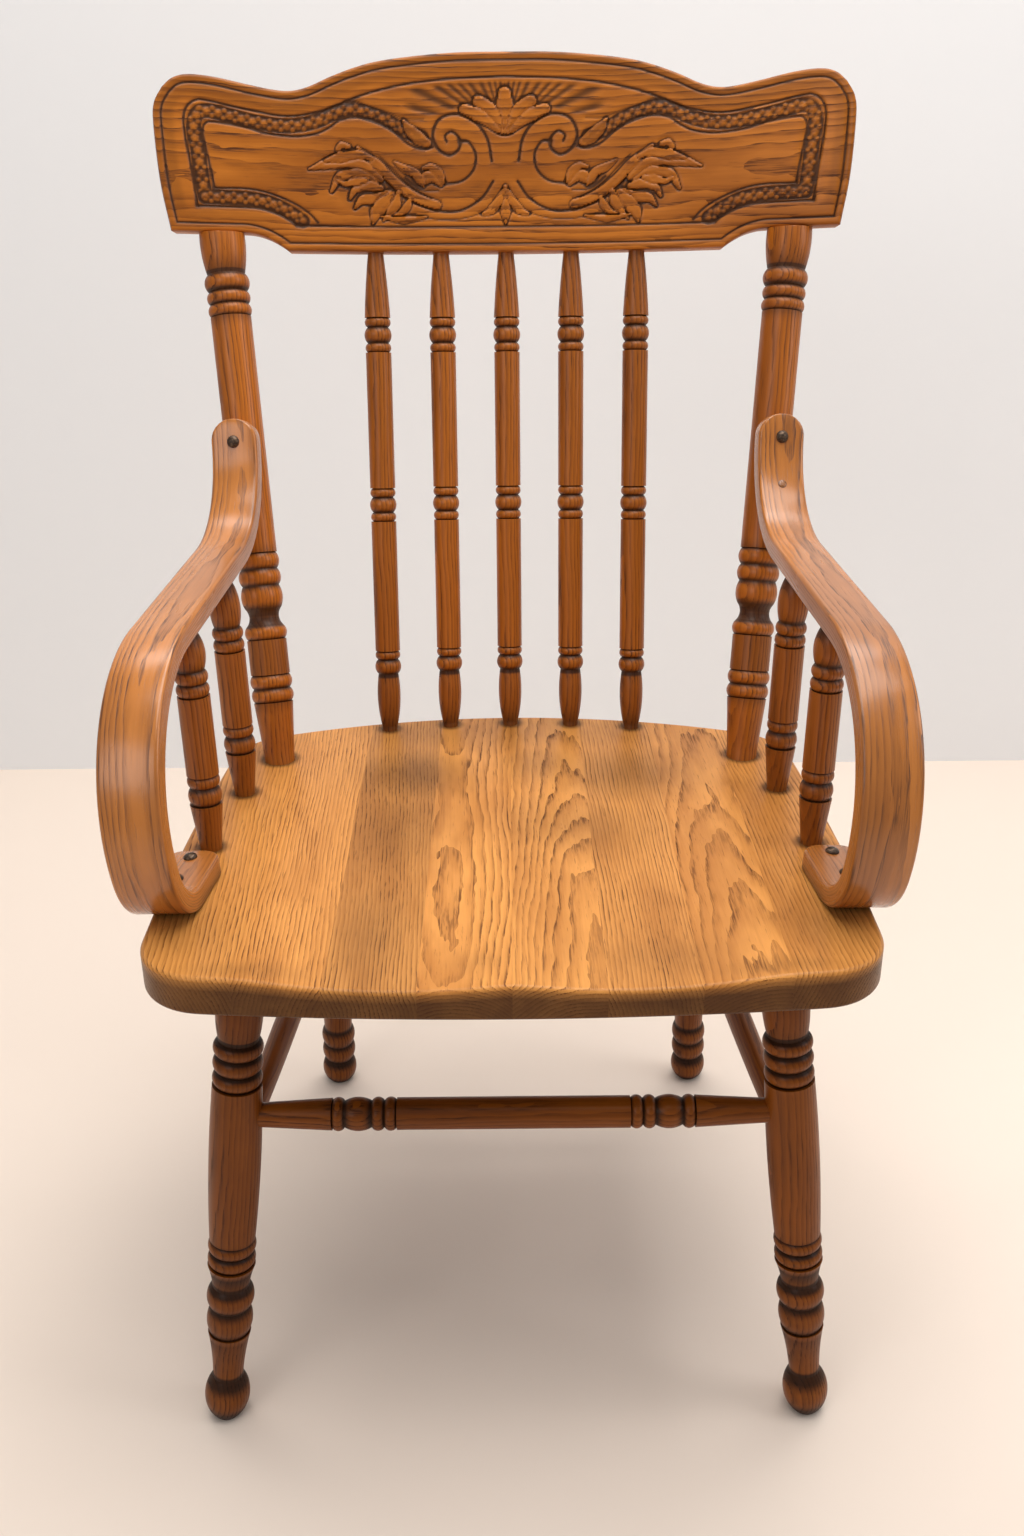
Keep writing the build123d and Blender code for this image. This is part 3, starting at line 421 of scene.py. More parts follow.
@dataclass(frozen=True)
class OakFinish:
    """Varnished oak: its colours, its figure and its gloss."""

    early: Place
    late: Place
    pore: Place
    # The dark colour that recesses, staining and painted shade are mixed towards.
    dirt_and_shade: Place = (0.024, 0.0075, 0.0018)
    figure: float = 0.40
    pores: float = 0.80
    ring_scale: float = 95.0
    roughness: float = 0.36
    coat: float = 0.10
    coat_roughness: float = 0.22
    shine: float = 0.30
    pore_bump: float = 0.30
    pore_depth: float = 0.0004
    pore_dull: float = 0.22
    recess_dull: float = 0.18
    cloud_dull: float = 0.14

    def material(self, name: str, groups: "Groups") -> bpy.types.Material:
        """Build the finish as a material that reads the piece's own attributes.

        Args:
            name: the material's name.
            groups: the shader groups that all oak finishes share.

        Returns:
            The material.
        """
        material, kit = fresh_material(name)
        read = {paint: kit.put("ShaderNodeAttribute", attribute_name=paint.value).outputs for paint in Paint}
        figure = kit.put("ShaderNodeGroup", {
            "Grain": read[Paint.GRAIN]["Vector"], "Ring Scale": self.ring_scale, "Early": (*self.early, 1.0),
            "Late": (*self.late, 1.0), "Pore": (*self.pore, 1.0), "Figure": self.figure, "Pores": self.pores,
        }, node_tree=groups.oak).outputs
        patina_and_shade = kit.put("ShaderNodeGroup", {
            "Color": figure["Color"], "DirtAndShade": (*self.dirt_and_shade, 1.0), "Recess": read[Paint.RECESS]["Fac"],
            "StainAndShade": read[Paint.STAIN_AND_SHADE]["Fac"], "Tone": read[Paint.TONE]["Fac"], "Cloud": figure["Cloud"],
        }, node_tree=groups.patina_and_shade).outputs
        dull = kit.total(kit.product(figure["Pore Mask"], self.pore_dull),
                         kit.product(patina_and_shade["RecessDarkening"], self.recess_dull))
        dull = kit.total(dull, kit.product(figure["Cloud"], self.cloud_dull))
        relief = kit.put("ShaderNodeBump", {
            "Strength": self.pore_bump, "Distance": self.pore_depth, "Height": figure["Pore Mask"],
        }, invert=True)
        varnish = kit.put("ShaderNodeBsdfPrincipled", {
            "Base Color": patina_and_shade["Color"], "Normal": relief.outputs["Normal"],
            "Roughness": kit.total(dull, self.roughness - self.cloud_dull / 2),
            "Specular IOR Level": self.shine, "Coat Weight": self.coat, "Coat Roughness": self.coat_roughness,
        })
        kit.put("ShaderNodeOutputMaterial", {"Surface": varnish.outputs["BSDF"]})
        return material


@dataclass(frozen=True)
class BronzeFinish:
    """Dark bronzed screw heads, rubbed a little brighter in patches."""

    dark: Place = (0.050, 0.030, 0.019)
    rubbed: Place = (0.150, 0.092, 0.054)
    roughness: float = 0.48
    polish: float = 0.16
    metallic: float = 0.55
    patch_scale: float = 420.0

    def material(self, name: str) -> bpy.types.Material:
        """Build the finish as a material.

        Args:
            name: the material's name.

        Returns:
            The material.
        """
        material, kit = fresh_material(name)
        place = kit.put("ShaderNodeTexCoord").outputs["Object"]
        worn = kit.ramp(kit.noise(place, self.patch_scale, 4.0, 0.6), 0.42, 0.66)
        metal = kit.put("ShaderNodeBsdfPrincipled", {
            "Base Color": kit.mix(worn, (*self.dark, 1.0), (*self.rubbed, 1.0)), "Metallic": self.metallic,
            "Roughness": kit.math("SUBTRACT", self.roughness, kit.product(worn, self.polish)),
        })
        kit.put("ShaderNodeOutputMaterial", {"Surface": metal.outputs["BSDF"]})
        return material


@dataclass
class Groups:
    """The shader groups that the oak finishes share."""

    oak: bpy.types.NodeTree = field(default_factory=oak_figure_group)
    patina_and_shade: bpy.types.NodeTree = field(default_factory=patina_and_shade_group)


class Slot(Enum):
    """The material slots."""

    SEAT = "seat_oak"
    CREST = "crest_oak"
    BACK = "back_oak"
    ARM = "arm_oak"
    ARM_SPINDLE = "arm_spindle_oak"
    LEG = "leg_oak"
    BRONZE = "dark_bronze"


OAK_FINISHES = {
    Slot.SEAT: OakFinish((0.69, 0.300, 0.073), (0.37, 0.130, 0.0235), (0.100, 0.028, 0.0055),
                         (0.050, 0.0150, 0.0020), pores=0.95, ring_scale=104.0, coat=0.06, shine=0.16),
    Slot.CREST: OakFinish((0.56, 0.180, 0.020), (0.265, 0.072, 0.0066), (0.062, 0.0155, 0.0022),
                          figure=0.48, pores=0.90, ring_scale=78.0, shine=0.20),
    Slot.BACK: OakFinish((0.46, 0.134, 0.0105), (0.215, 0.055, 0.0042), (0.058, 0.0145, 0.002)),
    Slot.ARM: OakFinish((0.52, 0.182, 0.033), (0.25, 0.078, 0.0122), (0.070, 0.019, 0.0038),
                        figure=0.36, pores=0.92, ring_scale=170.0, roughness=0.27, coat=0.45, shine=0.45),
    Slot.ARM_SPINDLE: OakFinish((0.37, 0.108, 0.011), (0.175, 0.045, 0.0042), (0.054, 0.0135, 0.002)),
    Slot.LEG: OakFinish((0.245, 0.066, 0.0056), (0.118, 0.029, 0.0024), (0.036, 0.0090, 0.0012),
                        (0.010, 0.0038, 0.0012), shine=0.14),
}


# Pieces

@dataclass
class Skin:
    """A mesh in the making: corners in metres, faces, and what the finish reads."""

    corners: Array
    faces: list[tuple[int, ...]]
    grain: Array
    recess: Array | None = None
    # Staining together with painted shade.
    stain_and_shade: Array | None = None


class Workshop:
    """Turns skins into finished pieces that stand for nodes of the frame."""

    def __init__(self) -> None:
        """Build every material once."""
        groups = Groups()
        self.materials = {slot: finish.material(slot.value, groups) for slot, finish in OAK_FINISHES.items()}
        self.materials[Slot.BRONZE] = BronzeFinish().material(Slot.BRONZE.value)

    def mesh(self, name: str, skin: Skin, tone: float) -> bpy.types.Mesh:
        """Make a mesh of a skin and paint its attributes.

        Args:
            name: the mesh's name.
            skin: corners, faces and attributes.
            tone: how much lighter or darker than its finish the piece is.

        Returns:
            The mesh.
        """
        mesh = bpy.data.meshes.new(name)
        mesh.from_pydata(skin.corners.tolist(), [], skin.faces)
        mesh.validate()
        count = len(mesh.vertices)
        flat = {Paint.RECESS: skin.recess, Paint.STAIN_AND_SHADE: skin.stain_and_shade, Paint.TONE: np.full(count, tone)}
        for paint, values in flat.items():
            paint_on(mesh, paint.value, np.zeros(count) if values is None else values)
        paint_on(mesh, Paint.GRAIN.value, skin.grain)
        self.face_outwards(mesh)
        return mesh

    @staticmethod
    def face_outwards(mesh: bpy.types.Mesh, sharp_degrees: float = 40.0) -> None:
        """Turn the faces outwards and shade them smooth up to an angle.

        Args:
            mesh: the mesh to treat.
            sharp_degrees: the angle from which an edge stays sharp.
        """
        work = bmesh.new()
        work.from_mesh(mesh)
        bmesh.ops.recalc_face_normals(work, faces=work.faces)
        work.to_mesh(mesh)
        work.free()
        mesh.shade_smooth()
        mesh.set_sharp_from_angle(angle=math.radians(sharp_degrees))

    def finish(self, name: str, mesh: bpy.types.Mesh, slot: Slot, nodes: Iterable[str]) -> None:
        """Dress a mesh as a piece and hand it to the frame.

        Args:
            name: the piece's name.
            mesh: its mesh, in place.
            slot: the material slot that it takes its finish from.
            nodes: the nodes that it stands for.
        """
        piece = placed(name, mesh)
        mesh.materials.clear()
        mesh.materials.append(self.materials[slot])
        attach(piece, BODY)
        if nodes:
            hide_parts(*nodes)
        log.info("%s: %d faces", name, len(mesh.polygons))


# Turning

class Stretch(NamedTuple):
    """A stretch of a turned stick: its length and its diameters at the start, middle and end."""

    length: float
    dia: float
    middle: float | None
    end: float


def straight(length: float, dia: float, end: float | None = None) -> Stretch:
    """A cylinder, or a cone that ends at another diameter."""
    return Stretch(length, dia, None, dia if end is None else end)


def swell(length: float, dia: float, middle: float, end: float) -> Stretch:
    """A stretch whose side bows through a middle diameter."""
    return Stretch(length, dia, middle, end)


def bead(length: float, dia: float, groove: float) -> Stretch:
    """A ring that rises from a groove and falls back into one."""
    return Stretch(length, groove, dia, groove)


def stick_length(stick: Iterable[Stretch]) -> float:
    """The length of all the stretches together."""
    return sum(stretch.length for stretch in stick)


def arc_radius(stretch: Stretch, share: Array) -> Array:
    """Radius along a bowed stretch, on the circle through its three diameters.

    Args:
        stretch: the bowed stretch.
        share: places along it, from 0 to 1.

    Returns:
        The radius at each place.
    """
    a = np.array([0.0, stretch.dia / 2])
    b = np.array([stretch.length / 2, stretch.middle / 2])
    c = np.array([stretch.length, stretch.end / 2])
    rows = np.array([b - a, c - a])
    sums = np.array([(b @ b - a @ a) / 2, (c @ c - a @ a) / 2])
    centre = np.linalg.solve(rows, sums)
    radius = np.linalg.norm(a - centre)
    bow = np.sqrt(np.maximum(radius**2 - (share * stretch.length - centre[0])**2, 0.0))
    upwards = 1.0 if b[1] > centre[1] else -1.0
    return centre[1] + upwards * bow


def stick_profile(stick: Iterable[Stretch]) -> tuple[Array, Array]:
    """Sample a stick from its bottom end.

    Args:
        stick: the stretches in order.

    Returns:
        The places along the stick and the radii there.
    """
    hair, bowed_spacing, plain_spacing = 0.02, 1.1, 12.0
    places, radii = [], []
    start = 0.0
    for stretch in stick:
        if stretch.middle:
            share = np.linspace(0.0, 1.0, max(3, int(stretch.length / bowed_spacing)))
            radii.append(arc_radius(stretch, share))
        else:
            share = np.linspace(0.0, 1.0, max(2, int(stretch.length / plain_spacing)))
            radii.append(stretch.dia / 2 + share * (stretch.end - stretch.dia) / 2)
        places.append(start + hair + share * (stretch.length - 2 * hair))
        start += stretch.length
    return np.concatenate(places), np.concatenate(radii)


def sunk_share(places: Array, radii: Array, window: float = 6.5, depth: float = 2.6) -> Array:
    """How deep each place of a stick lies in a groove, from 0 to 1.

    Args:
        places: places along the stick.
        radii: the radii there.
        window: how far along the stick the tops beside a groove are looked for.
        depth: the depth that counts as 1.

    Returns:
        One share per place.
    """
    top = np.array([radii[np.abs(places - place) < window].max() for place in places])
    return np.clip((top - radii) / depth, 0.0, 1.0)


def geometry_tree(name: str, inputs: SocketList) -> tuple[bpy.types.NodeTree, Kit, bpy.types.Node]:
    """Start a Geometry Nodes tree that takes a mesh, some sizes and a finish.

    Args:
        name: the tree's name.
        inputs: name and socket type of each size.

    Returns:
        The tree, its kit and its input node.
    """
    tree = bpy.data.node_groups.new(name, "GeometryNodeTree")
    mesh, finish = ("Geometry", "NodeSocketGeometry"), ("Finish", "NodeSocketMaterial")
    for label, kind in (mesh, *inputs, finish):
        tree.interface.new_socket(label, in_out="INPUT", socket_type=kind)
    tree.interface.new_socket(mesh[0], in_out="OUTPUT", socket_type=mesh[1])
    kit = Kit(tree)
    return tree, kit, kit.put("NodeGroupInput")


def end_tree(kit: Kit, source: bpy.types.Node, shape: Socket) -> None:
    """End a Geometry Nodes tree: instances become real and take the finish.

    Args:
        kit: the tree's kit.
        source: its input node.
        shape: what the tree has made.
    """
    real = kit.put("GeometryNodeRealizeInstances", {"Geometry": shape}).outputs["Geometry"]
    dressed = kit.put("GeometryNodeSetMaterial", {"Geometry": real, "Material": source.outputs["Finish"]})
    kit.put("NodeGroupOutput", {"Geometry": dressed.outputs["Geometry"]})


def grown(tree: bpy.types.NodeTree, seed: bpy.types.Mesh, values: dict[str, object]) -> bpy.types.Mesh:
    """Run a Geometry Nodes tree on a mesh.

    Args:
        tree: the tree.
        seed: the mesh that goes in.
        values: the tree's named inputs.

    Returns:
        The plain mesh that comes out.
    """
    holder = placed(seed.name, seed)
    modifier = holder.modifiers.new(tree.name, "NODES")
    modifier.node_group = tree
    identifiers = {item.name: item.identifier for item in tree.interface.items_tree}
    for name, value in values.items():
        modifier[identifiers[name]] = value
    depsgraph = bpy.context.evaluated_depsgraph_get()
    mesh = bpy.data.meshes.new_from_object(holder.evaluated_get(depsgraph))
    bpy.data.objects.remove(holder)
    return mesh


class Lathe:
    """Turns profiles round their axes with one Geometry Nodes tree."""

    SIDES = 56
    HEART = np.array([0.055, 0.021, 0.0])
    GRAIN_STEP = np.array([0.02, 0.02, 3.7])

    def __init__(self, shop: Workshop) -> None:
        """Build the tree once."""
        self.shop = shop
        self.tree = self.build_tree()

    @staticmethod
    def build_tree() -> bpy.types.NodeTree:
        """A line with radii becomes a turned skin with closed ends.

        Returns:
            The Geometry Nodes tree, with Sides and Finish as its named inputs.
        """
        tree, kit, source = geometry_tree("lathe", (("Sides", "NodeSocketInt"),))
        line = kit.put("GeometryNodeMeshToCurve", {"Mesh": source.outputs["Geometry"]})
        radius = kit.put("GeometryNodeInputNamedAttribute", {"Name": TURN_RADIUS}, data_type="FLOAT")
        sides = source.outputs["Sides"]
        circle = kit.put("GeometryNodeCurvePrimitiveCircle", {"Radius": 1.0, "Resolution": sides})
        skin = kit.put("GeometryNodeCurveToMesh", {
            "Curve": line.outputs["Curve"], "Profile Curve": circle.outputs["Curve"],
            "Scale": radius.outputs["Attribute"], "Fill Caps": True,
        })
        end_tree(kit, source, skin.outputs["Mesh"])
        return tree

    def turn(self, node: str, stick: list[Stretch], ends: Ends, setback: float, slot: Slot, tone: float,
             trim: Trim | None = None) -> None:
        """Turn a stick and lay it along a line.

        Args:
            node: the node that the piece stands for.
            stick: the stretches from the bottom end.
            ends: where the stick comes out of its lower socket, and the point that it runs towards.
            setback: how far before the first end the stick begins.
            slot: its material slot.
            tone: how much lighter or darker than its finish it is.
            trim: changes the corners of the finished skin, given them and the axis.
        """
        first, last = np.array(ends, float)
        axis = (last - first) / np.linalg.norm(last - first)
        places, radii = stick_profile(stick)
        line = first + (places - setback)[:, None] * axis
        wire = bpy.data.meshes.new(node + "_line")
        wire.from_pydata(to_frame(line).tolist(), [(i, i + 1) for i in range(len(line) - 1)], [])
        paint_on(wire, TURN_RADIUS, radii * MM)
        paint_on(wire, Paint.RECESS.value, sunk_share(places, radii))
        mesh = grown(self.tree, wire, {"Sides": self.SIDES, "Finish": self.shop.materials[slot]})
        self.paint(mesh, first, axis, tone, trim)
        mesh.name = node + "_turning"
        self.shop.finish(node + "_turned", mesh, slot, [node])

    def paint(self, mesh: bpy.types.Mesh, first: Array, axis: Array, tone: float, trim: Trim | None) -> None:
        """Trim a turned mesh and give it the attributes that its finish reads.

        Args:
            mesh: the turned mesh, in place.
            first: a point on its axis, in chair millimetres.
            axis: the direction of its axis.
            tone: how much lighter or darker than its finish it is.
            trim: changes the corners, given them and the axis.
        """
        count = len(mesh.vertices)
        corners = np.zeros(count * 3)
        mesh.vertices.foreach_get("co", corners)
        corners = corners.reshape(-1, 3)
        aside = (0.0, 1.0, 0.0) if abs(axis[1]) < 0.9 else (1.0, 0.0, 0.0)
        across = np.cross(axis, aside)
        across /= np.linalg.norm(across)
        basis = np.stack([across, np.cross(axis, across), axis], axis=1)
        grain = (corners - to_frame(first)) @ basis + self.HEART + self.GRAIN_STEP * first * MM
        if trim:
            corners = trim(corners, axis)
            mesh.vertices.foreach_set("co", corners.ravel())
        paint_on(mesh, Paint.GRAIN.value, grain)
        paint_on(mesh, Paint.TONE.value, np.full(count, tone))
        paint_on(mesh, Paint.STAIN_AND_SHADE.value, np.zeros(count))
        mesh.attributes.remove(mesh.attributes[TURN_RADIUS])
        self.shop.face_outwards(mesh)


def dia_at(stick: list[Stretch], reach: float) -> float:
    """Diameter of a stick at a distance from its bottom end, with a parabola for each shallow arc.

    Args:
        stick: the stretches from the bottom up.
        reach: the distance.

    Returns:
        The diameter.
    """
    for stretch in stick:
        if reach <= stretch.length:
            break
        reach -= stretch.length
    share = reach / stretch.length
    straight_middle = (stretch.dia + stretch.end) / 2
    bow = 0.0 if stretch.middle is None else stretch.middle - straight_middle
    return stretch.dia + share * (stretch.end - stretch.dia) + 4 * bow * share * (1 - share)


def between(start: Place, end: Place, share: float) -> Place:
    """A point on the line from start to end."""
    return tuple(a + share * (b - a) for a, b in zip(start, end))


def at_height(start: Place, end: Place, height: float) -> Place:
    """The point of a line at a height."""
    return between(start, end, (height - start[2]) / (end[2] - start[2]))


def collar(ends: Ends, dia: float, margin: float = 0.8) -> float:
    """How much plain tenon shows outside a level surface, so that what follows clears its tilted rim.

    Args:
        ends: two points on the stick's axis.
        dia: the tenon's diameter.
        margin: what is added to the least that the tilt needs.

    Returns:
        The length.
    """
    run, across, rise = (b - a for a, b in zip(*ends))
    return dia / 2 * math.hypot(run, across) / abs(rise) + margin


def sided(point: Place, side: float) -> Place:
    """A point of the left half, moved to a side of the chair."""
    return (-side * point[0], point[1], point[2])


# Crest

@dataclass
class Mark:
    """A pressed line or leaf: its course over the right half of the crest, its half width and its height."""

    course: tuple[Point, ...]
    widths: tuple[float, ...] = (1.0,)
    depth: float = 0.9
    dome: float = 0.0


@dataclass
class Crest:
    """The bent board at the top of the back and what is pressed into its front face."""

    bottom_height: float = 880.0
    bottom_y: float = 541.0
    lean_degrees: float = 11.0
    thickness: float = 23.0
    bend_radius: float = 900.0
    height: float = 167.5
    half_width: float = 302.0
    corner_inset: float = 9.0
    corner_rise: float = 15.0
    apron_half_width: float = 195.0
    ogee_width: float = 38.0
    grid: float = 1.2
    edge_round: float = 3.0
    rim_line_inset: float = 7.0
    band_half_width: float = 6.4
    band_depth: float = 0.95
    bead_pitch: float = 9.6
    rosette_radius: float = 4.1
    petals: float = 5.0
    leaf_radius: float = 2.5
    leaf_offset: float = 3.2
    fan_height: float = 100.0
    ray_count: float = 46.0
    leaf_grounds: tuple[tuple[float, ...], ...] = ((126.0, 55.0, 33.0, 28.0), (74.0, 62.0, 20.0, 11.0))
    leaf_ground_depth: float = 0.42
    relief_range: Point = (-1.9, 0.9)
    heart: Place = (-0.062, 0.058, 0.31)

    def place(self, x: Array, up: Array, depth: Array) -> Array:
        """Put points of the flat crest on the bent, leaning board.

        Args:
            x: distance from the middle.
            up: distance up the board from its bottom edge.
            depth: distance in front of the front face.

        Returns:
            The points in chair millimetres, one row each.
        """
        lean = math.radians(self.lean_degrees)
        x, up, depth = np.broadcast_arrays(np.asarray(x, float), up, depth)
        radius = self.bend_radius - depth
        out = self.bend_radius - np.sqrt(radius**2 - x**2)
        y = self.bottom_y + up * math.sin(lean) - out * math.cos(lean)
        z = self.bottom_height + up * math.cos(lean) + out * math.sin(lean)
        return np.stack([x, y, z], axis=-1)

    def middle(self, x: float, up: float) -> Place:
        """A point in the middle of the board's thickness."""
        return tuple(self.place(x, up, -self.thickness / 2))

    def right_outline(self) -> tuple[Array, Array, Array]:
        """The right half of the outline: its bottom, side and top edges, drawn from the middle round.

        Returns:
            The three drawn edges.
        """
        ogee_end = self.apron_half_width + self.ogee_width
        corner = (self.half_width - self.corner_inset, self.corner_rise)
        share = np.linspace(0.0, 1.0, 24)
        ogee = np.stack([self.apron_half_width + share * self.ogee_width,
                         self.corner_rise * (1.0 - (1.0 - share)**2.0)], axis=1)
        bottom = np.vstack([[(0.0, 0.0)], ogee, [(ogee_end + 1.0, self.corner_rise)], [corner]])
        side = spline([corner, (299.3, 55.0), (302.0, 100.0), (300.5, 118.0), (293.5, 131.0)])
        top = spline([(293.5, 131.0), (284.5, 139.0), (272.0, 142.5), (251.0, 141.5), (222.0, 136.5),
                      (202.0, 133.4), (188.0, 133.0), (173.0, 136.6), (152.0, 146.0), (131.0, 153.8),
                      (110.0, 159.3), (77.0, 164.0), (40.0, 167.0), (0.0, 167.5)])
        return bottom, side, top

    def marks(self) -> list[Mark]:
        """Every pressed line, scroll and leaf of the right half.

        Returns:
            The marks, lines first.
        """
        top_line = ((0, 147), (48, 145), (89, 140), (125, 131), (158, 118), (190, 112), (224, 116),
                    (258, 122), (267, 121.5), (274, 116), (277, 107), (276.5, 92), (272, 60), (270, 36))
        bottom_line = ((270, 36), (234, 36), (217, 35), (203, 31), (193, 26), (186, 21.5))
        apron_line = ((187, 21.5), (120, 21.5), (0, 21.5))
        inner_top = ((255, 51), (257, 66), (261, 88), (262, 98), (259.5, 103.5), (253, 105), (229, 102),
                     (210, 97.5), (186, 95.5), (168, 98), (156, 103), (145, 110), (130, 112.3), (115, 110),
                     (100, 102), (86, 91), (74, 87), (65, 88.5))
        inner_bottom = ((255, 51), (231, 51.5), (214, 49.5), (198, 44.5), (184, 38), (174, 31), (168, 24.5))
        band_top = ((141, 125), (130, 125.5), (120, 121.5), (104, 117.5), (88, 112), (72, 112))
        volute = ((12, 77), (16, 96), (27, 110), (43, 116), (58, 112), (64.5, 99), (60, 87.5), (50, 82),
                  (41.5, 87), (41, 96), (47.5, 101.5), (53.5, 98), (52, 93))
        inner_c = ((41, 93), (33, 93), (26.5, 83), (28.5, 70), (39, 60.5), (55, 58), (61, 60))
        lower_scroll = ((11, 60), (22, 45.5), (41, 35.5), (62, 35.5), (78, 41), (92, 47), (104, 58),
                        (120, 75), (134, 84.5), (142, 83))
        line = [
            Mark(top_line, depth=1.1), Mark(bottom_line, depth=1.1), Mark(apron_line, depth=1.0),
            Mark(inner_top, depth=1.0), Mark(inner_bottom, depth=1.0), Mark(band_top, depth=0.6),
            Mark(volute, (1.0, 1.15, 1.15, 0.9), 1.25), Mark(inner_c, depth=1.15),
            Mark(lower_scroll, depth=1.25),
            Mark(((66, 45), (85, 55), (99, 69), (112, 81)), (0.8,), 0.7),
            Mark(((60, 52), (76, 53), (90, 63)), (0.8,), 0.7),
            Mark(((22, 33), (40, 28.5), (62, 28), (84, 32), (100, 30)), (0.8,), 0.7),
            Mark(((72, 41), (92, 51.5), (107, 65), (123, 79)), (0.7,), 0.6),
            Mark(((84, 44), (99, 53), (112, 66), (127, 77)), (0.7,), 0.6),
        ]
        leaf = [
            Mark(((112, 62), (126, 73), (146, 76.5), (174, 69)), (3.5, 6.5, 6.0, 0.8), 1.0, 0.7),
            Mark(((116, 58), (131, 65), (147, 63), (155, 51)), (3.0, 5.0, 4.5, 1.5), 1.0, 0.7),
            Mark(((112, 54), (124, 56), (134, 53), (139, 45)), (3.0, 4.5, 4.0, 1.2), 1.0, 0.7),
            Mark(((104, 50), (116, 45), (128, 44), (135, 37)), (3.0, 5.0, 4.5, 1.0), 1.0, 0.7),
            Mark(((102, 49), (109, 41), (116, 34), (119.5, 24)), (3.0, 6.0, 6.0, 1.0), 1.0, 0.7),
            Mark(((62, 40), (80, 46), (98, 58), (114, 74), (131, 87)), (4.0, 4.5, 4.5, 4.0, 1.8), 0.9, 0.6),
            Mark(((139, 88), (145, 89.5), (148, 85), (143.5, 81.5)), (2.4, 2.6, 2.4, 1.6), 1.0, 0.6),
            Mark(((58, 59), (66, 64.5), (76, 61.5), (84, 68)), (3.5, 5.5, 5.0, 1.5), 1.0, 0.7),
            Mark(((70, 92), (78, 97), (86, 104), (90, 110)), (4.0, 6.0, 5.0, 1.5), 0.9, 0.5),
            Mark(((120, 79), (132, 82), (146, 79.5), (160, 76)), (2.0, 4.0, 4.5, 1.0), 1.0, 0.6),
            Mark(((124, 61), (134, 59), (143, 57.5), (150, 60)), (2.0, 3.5, 3.0, 1.0), 0.9, 0.6),
            Mark(((96, 50), (99, 40), (105, 32), (110, 27)), (2.5, 4.5, 4.0, 1.0), 0.9, 0.6),
            Mark(((86, 45), (89, 38), (95, 33), (101, 31)), (2.0, 3.5, 3.0, 0.8), 0.9, 0.5),
            Mark(((74, 57), (80, 66), (90, 70.5), (99, 76)), (2.0, 4.0, 3.5, 1.0), 0.9, 0.6),
            Mark(((56, 60), (60, 68), (67, 72), (74, 71)), (2.0, 3.6, 3.2, 1.0), 0.9, 0.6),
            Mark(((72, 30), (92, 27.5), (112, 30)), (1.0, 3.2, 0.8), 0.8, 0.5),
        ]
        shell = [
            Mark(((0, 101), (0, 117), (0, 127), (0, 133)), (2.4, 5.4, 8.6, 5.6), 1.3, 0.9),
            Mark(((3, 101), (10, 115), (17, 122), (23, 126)), (2.0, 4.4, 6.8, 5.6), 1.2, 0.8),
            Mark(((6, 102), (17, 111), (28, 117), (36, 120)), (2.0, 4.0, 5.8, 4.6), 1.1, 0.8),
            Mark(((0, 55), (0, 40), (0, 31), (0, 24)), (2.2, 4.0, 5.0, 0.8), 1.1, 0.7),
            Mark(((2, 52), (8, 41), (14, 35), (21, 32.5)), (1.8, 3.6, 4.0, 1.0), 1.0, 0.7),
        ]
        return line + leaf + shell

    @staticmethod
    def press(mark: Mark, spots: Array) -> Array:
        """The height that one mark gives to the face.

        Args:
            mark: the mark.
            spots: how far aside and how far up the board each point is.

        Returns:
            The height at each point.
        """
        course = spline(mark.course)
        margin = max(mark.widths) + 12.0
        near = ((spots > course.min(axis=0) - margin) & (spots < course.max(axis=0) + margin)).all(axis=1)
        height = np.zeros(len(spots))
        gap, along, _ = nearest_on(course, spots[near])
        stops = np.linspace(0.0, max(along.max(), 1.0), len(mark.widths))
        width = np.interp(along, stops, mark.widths)
        if mark.dome:
            rim = bell(gap - width - 0.5, 0.95)
            rib = 0.25 * bell(gap, 0.7)
            height[near] = mark.dome * np.sqrt(dome(gap, width)) - mark.depth * rim - rib * (width > 3.0)
        else:
            height[near] = -mark.depth * (bell(gap, width) + 0.28 * bell(gap, 4.2 * width))
        return height

    def band(self, spots: Array) -> Array:
        """The height of the border of rosettes between the two lines.

        Args:
            spots: how far aside and how far up the board each point is.

        Returns:
            The height at each point.
        """
        courses = (
            ((263, 43.5), (264.5, 60), (267, 82), (269.3, 99), (266, 110.5), (257, 113.5), (238, 110),
             (214, 105.5), (190, 103.8), (168, 107.5), (150, 115.5), (136, 119), (120, 115.5), (103, 109.5),
             (88, 101), (74, 97)),
            ((263, 43.5), (240, 43.5), (222, 42.5), (206, 39), (192, 32.5), (181, 25.5)),
        )
        height = np.zeros(len(spots))
        near = np.abs(spots[:, 0] - 190.0) < 130.0
        for course in courses:
            gap, along, side = nearest_on(spline(course), spots[near])
            offset = gap * side
            inside = 1.0 - smooth_step(self.band_half_width - 1.2, self.band_half_width + 0.3, gap)
            ground = -self.band_depth * inside
            step = (along / self.bead_pitch + 0.5) % 1.0 - 0.5
            across = step * self.bead_pitch
            flower = np.hypot(across, offset)
            petals = 0.55 + 0.45 * np.cos(self.petals * np.arctan2(offset, across))
            rosette = 1.15 * dome(flower, self.rosette_radius) * (0.55 + 0.45 * petals)
            eye = 0.5 * bell(flower, 1.1)
            beside = np.abs(across) - self.bead_pitch / 2
            leaves = sum(dome(np.hypot(beside, offset - at), self.leaf_radius)
                         for at in (-self.leaf_offset, self.leaf_offset))
            pattern = (rosette + eye + 0.85 * leaves) * (ground < -0.3)
            height[near] = np.minimum(height[near], ground) + pattern
        return height

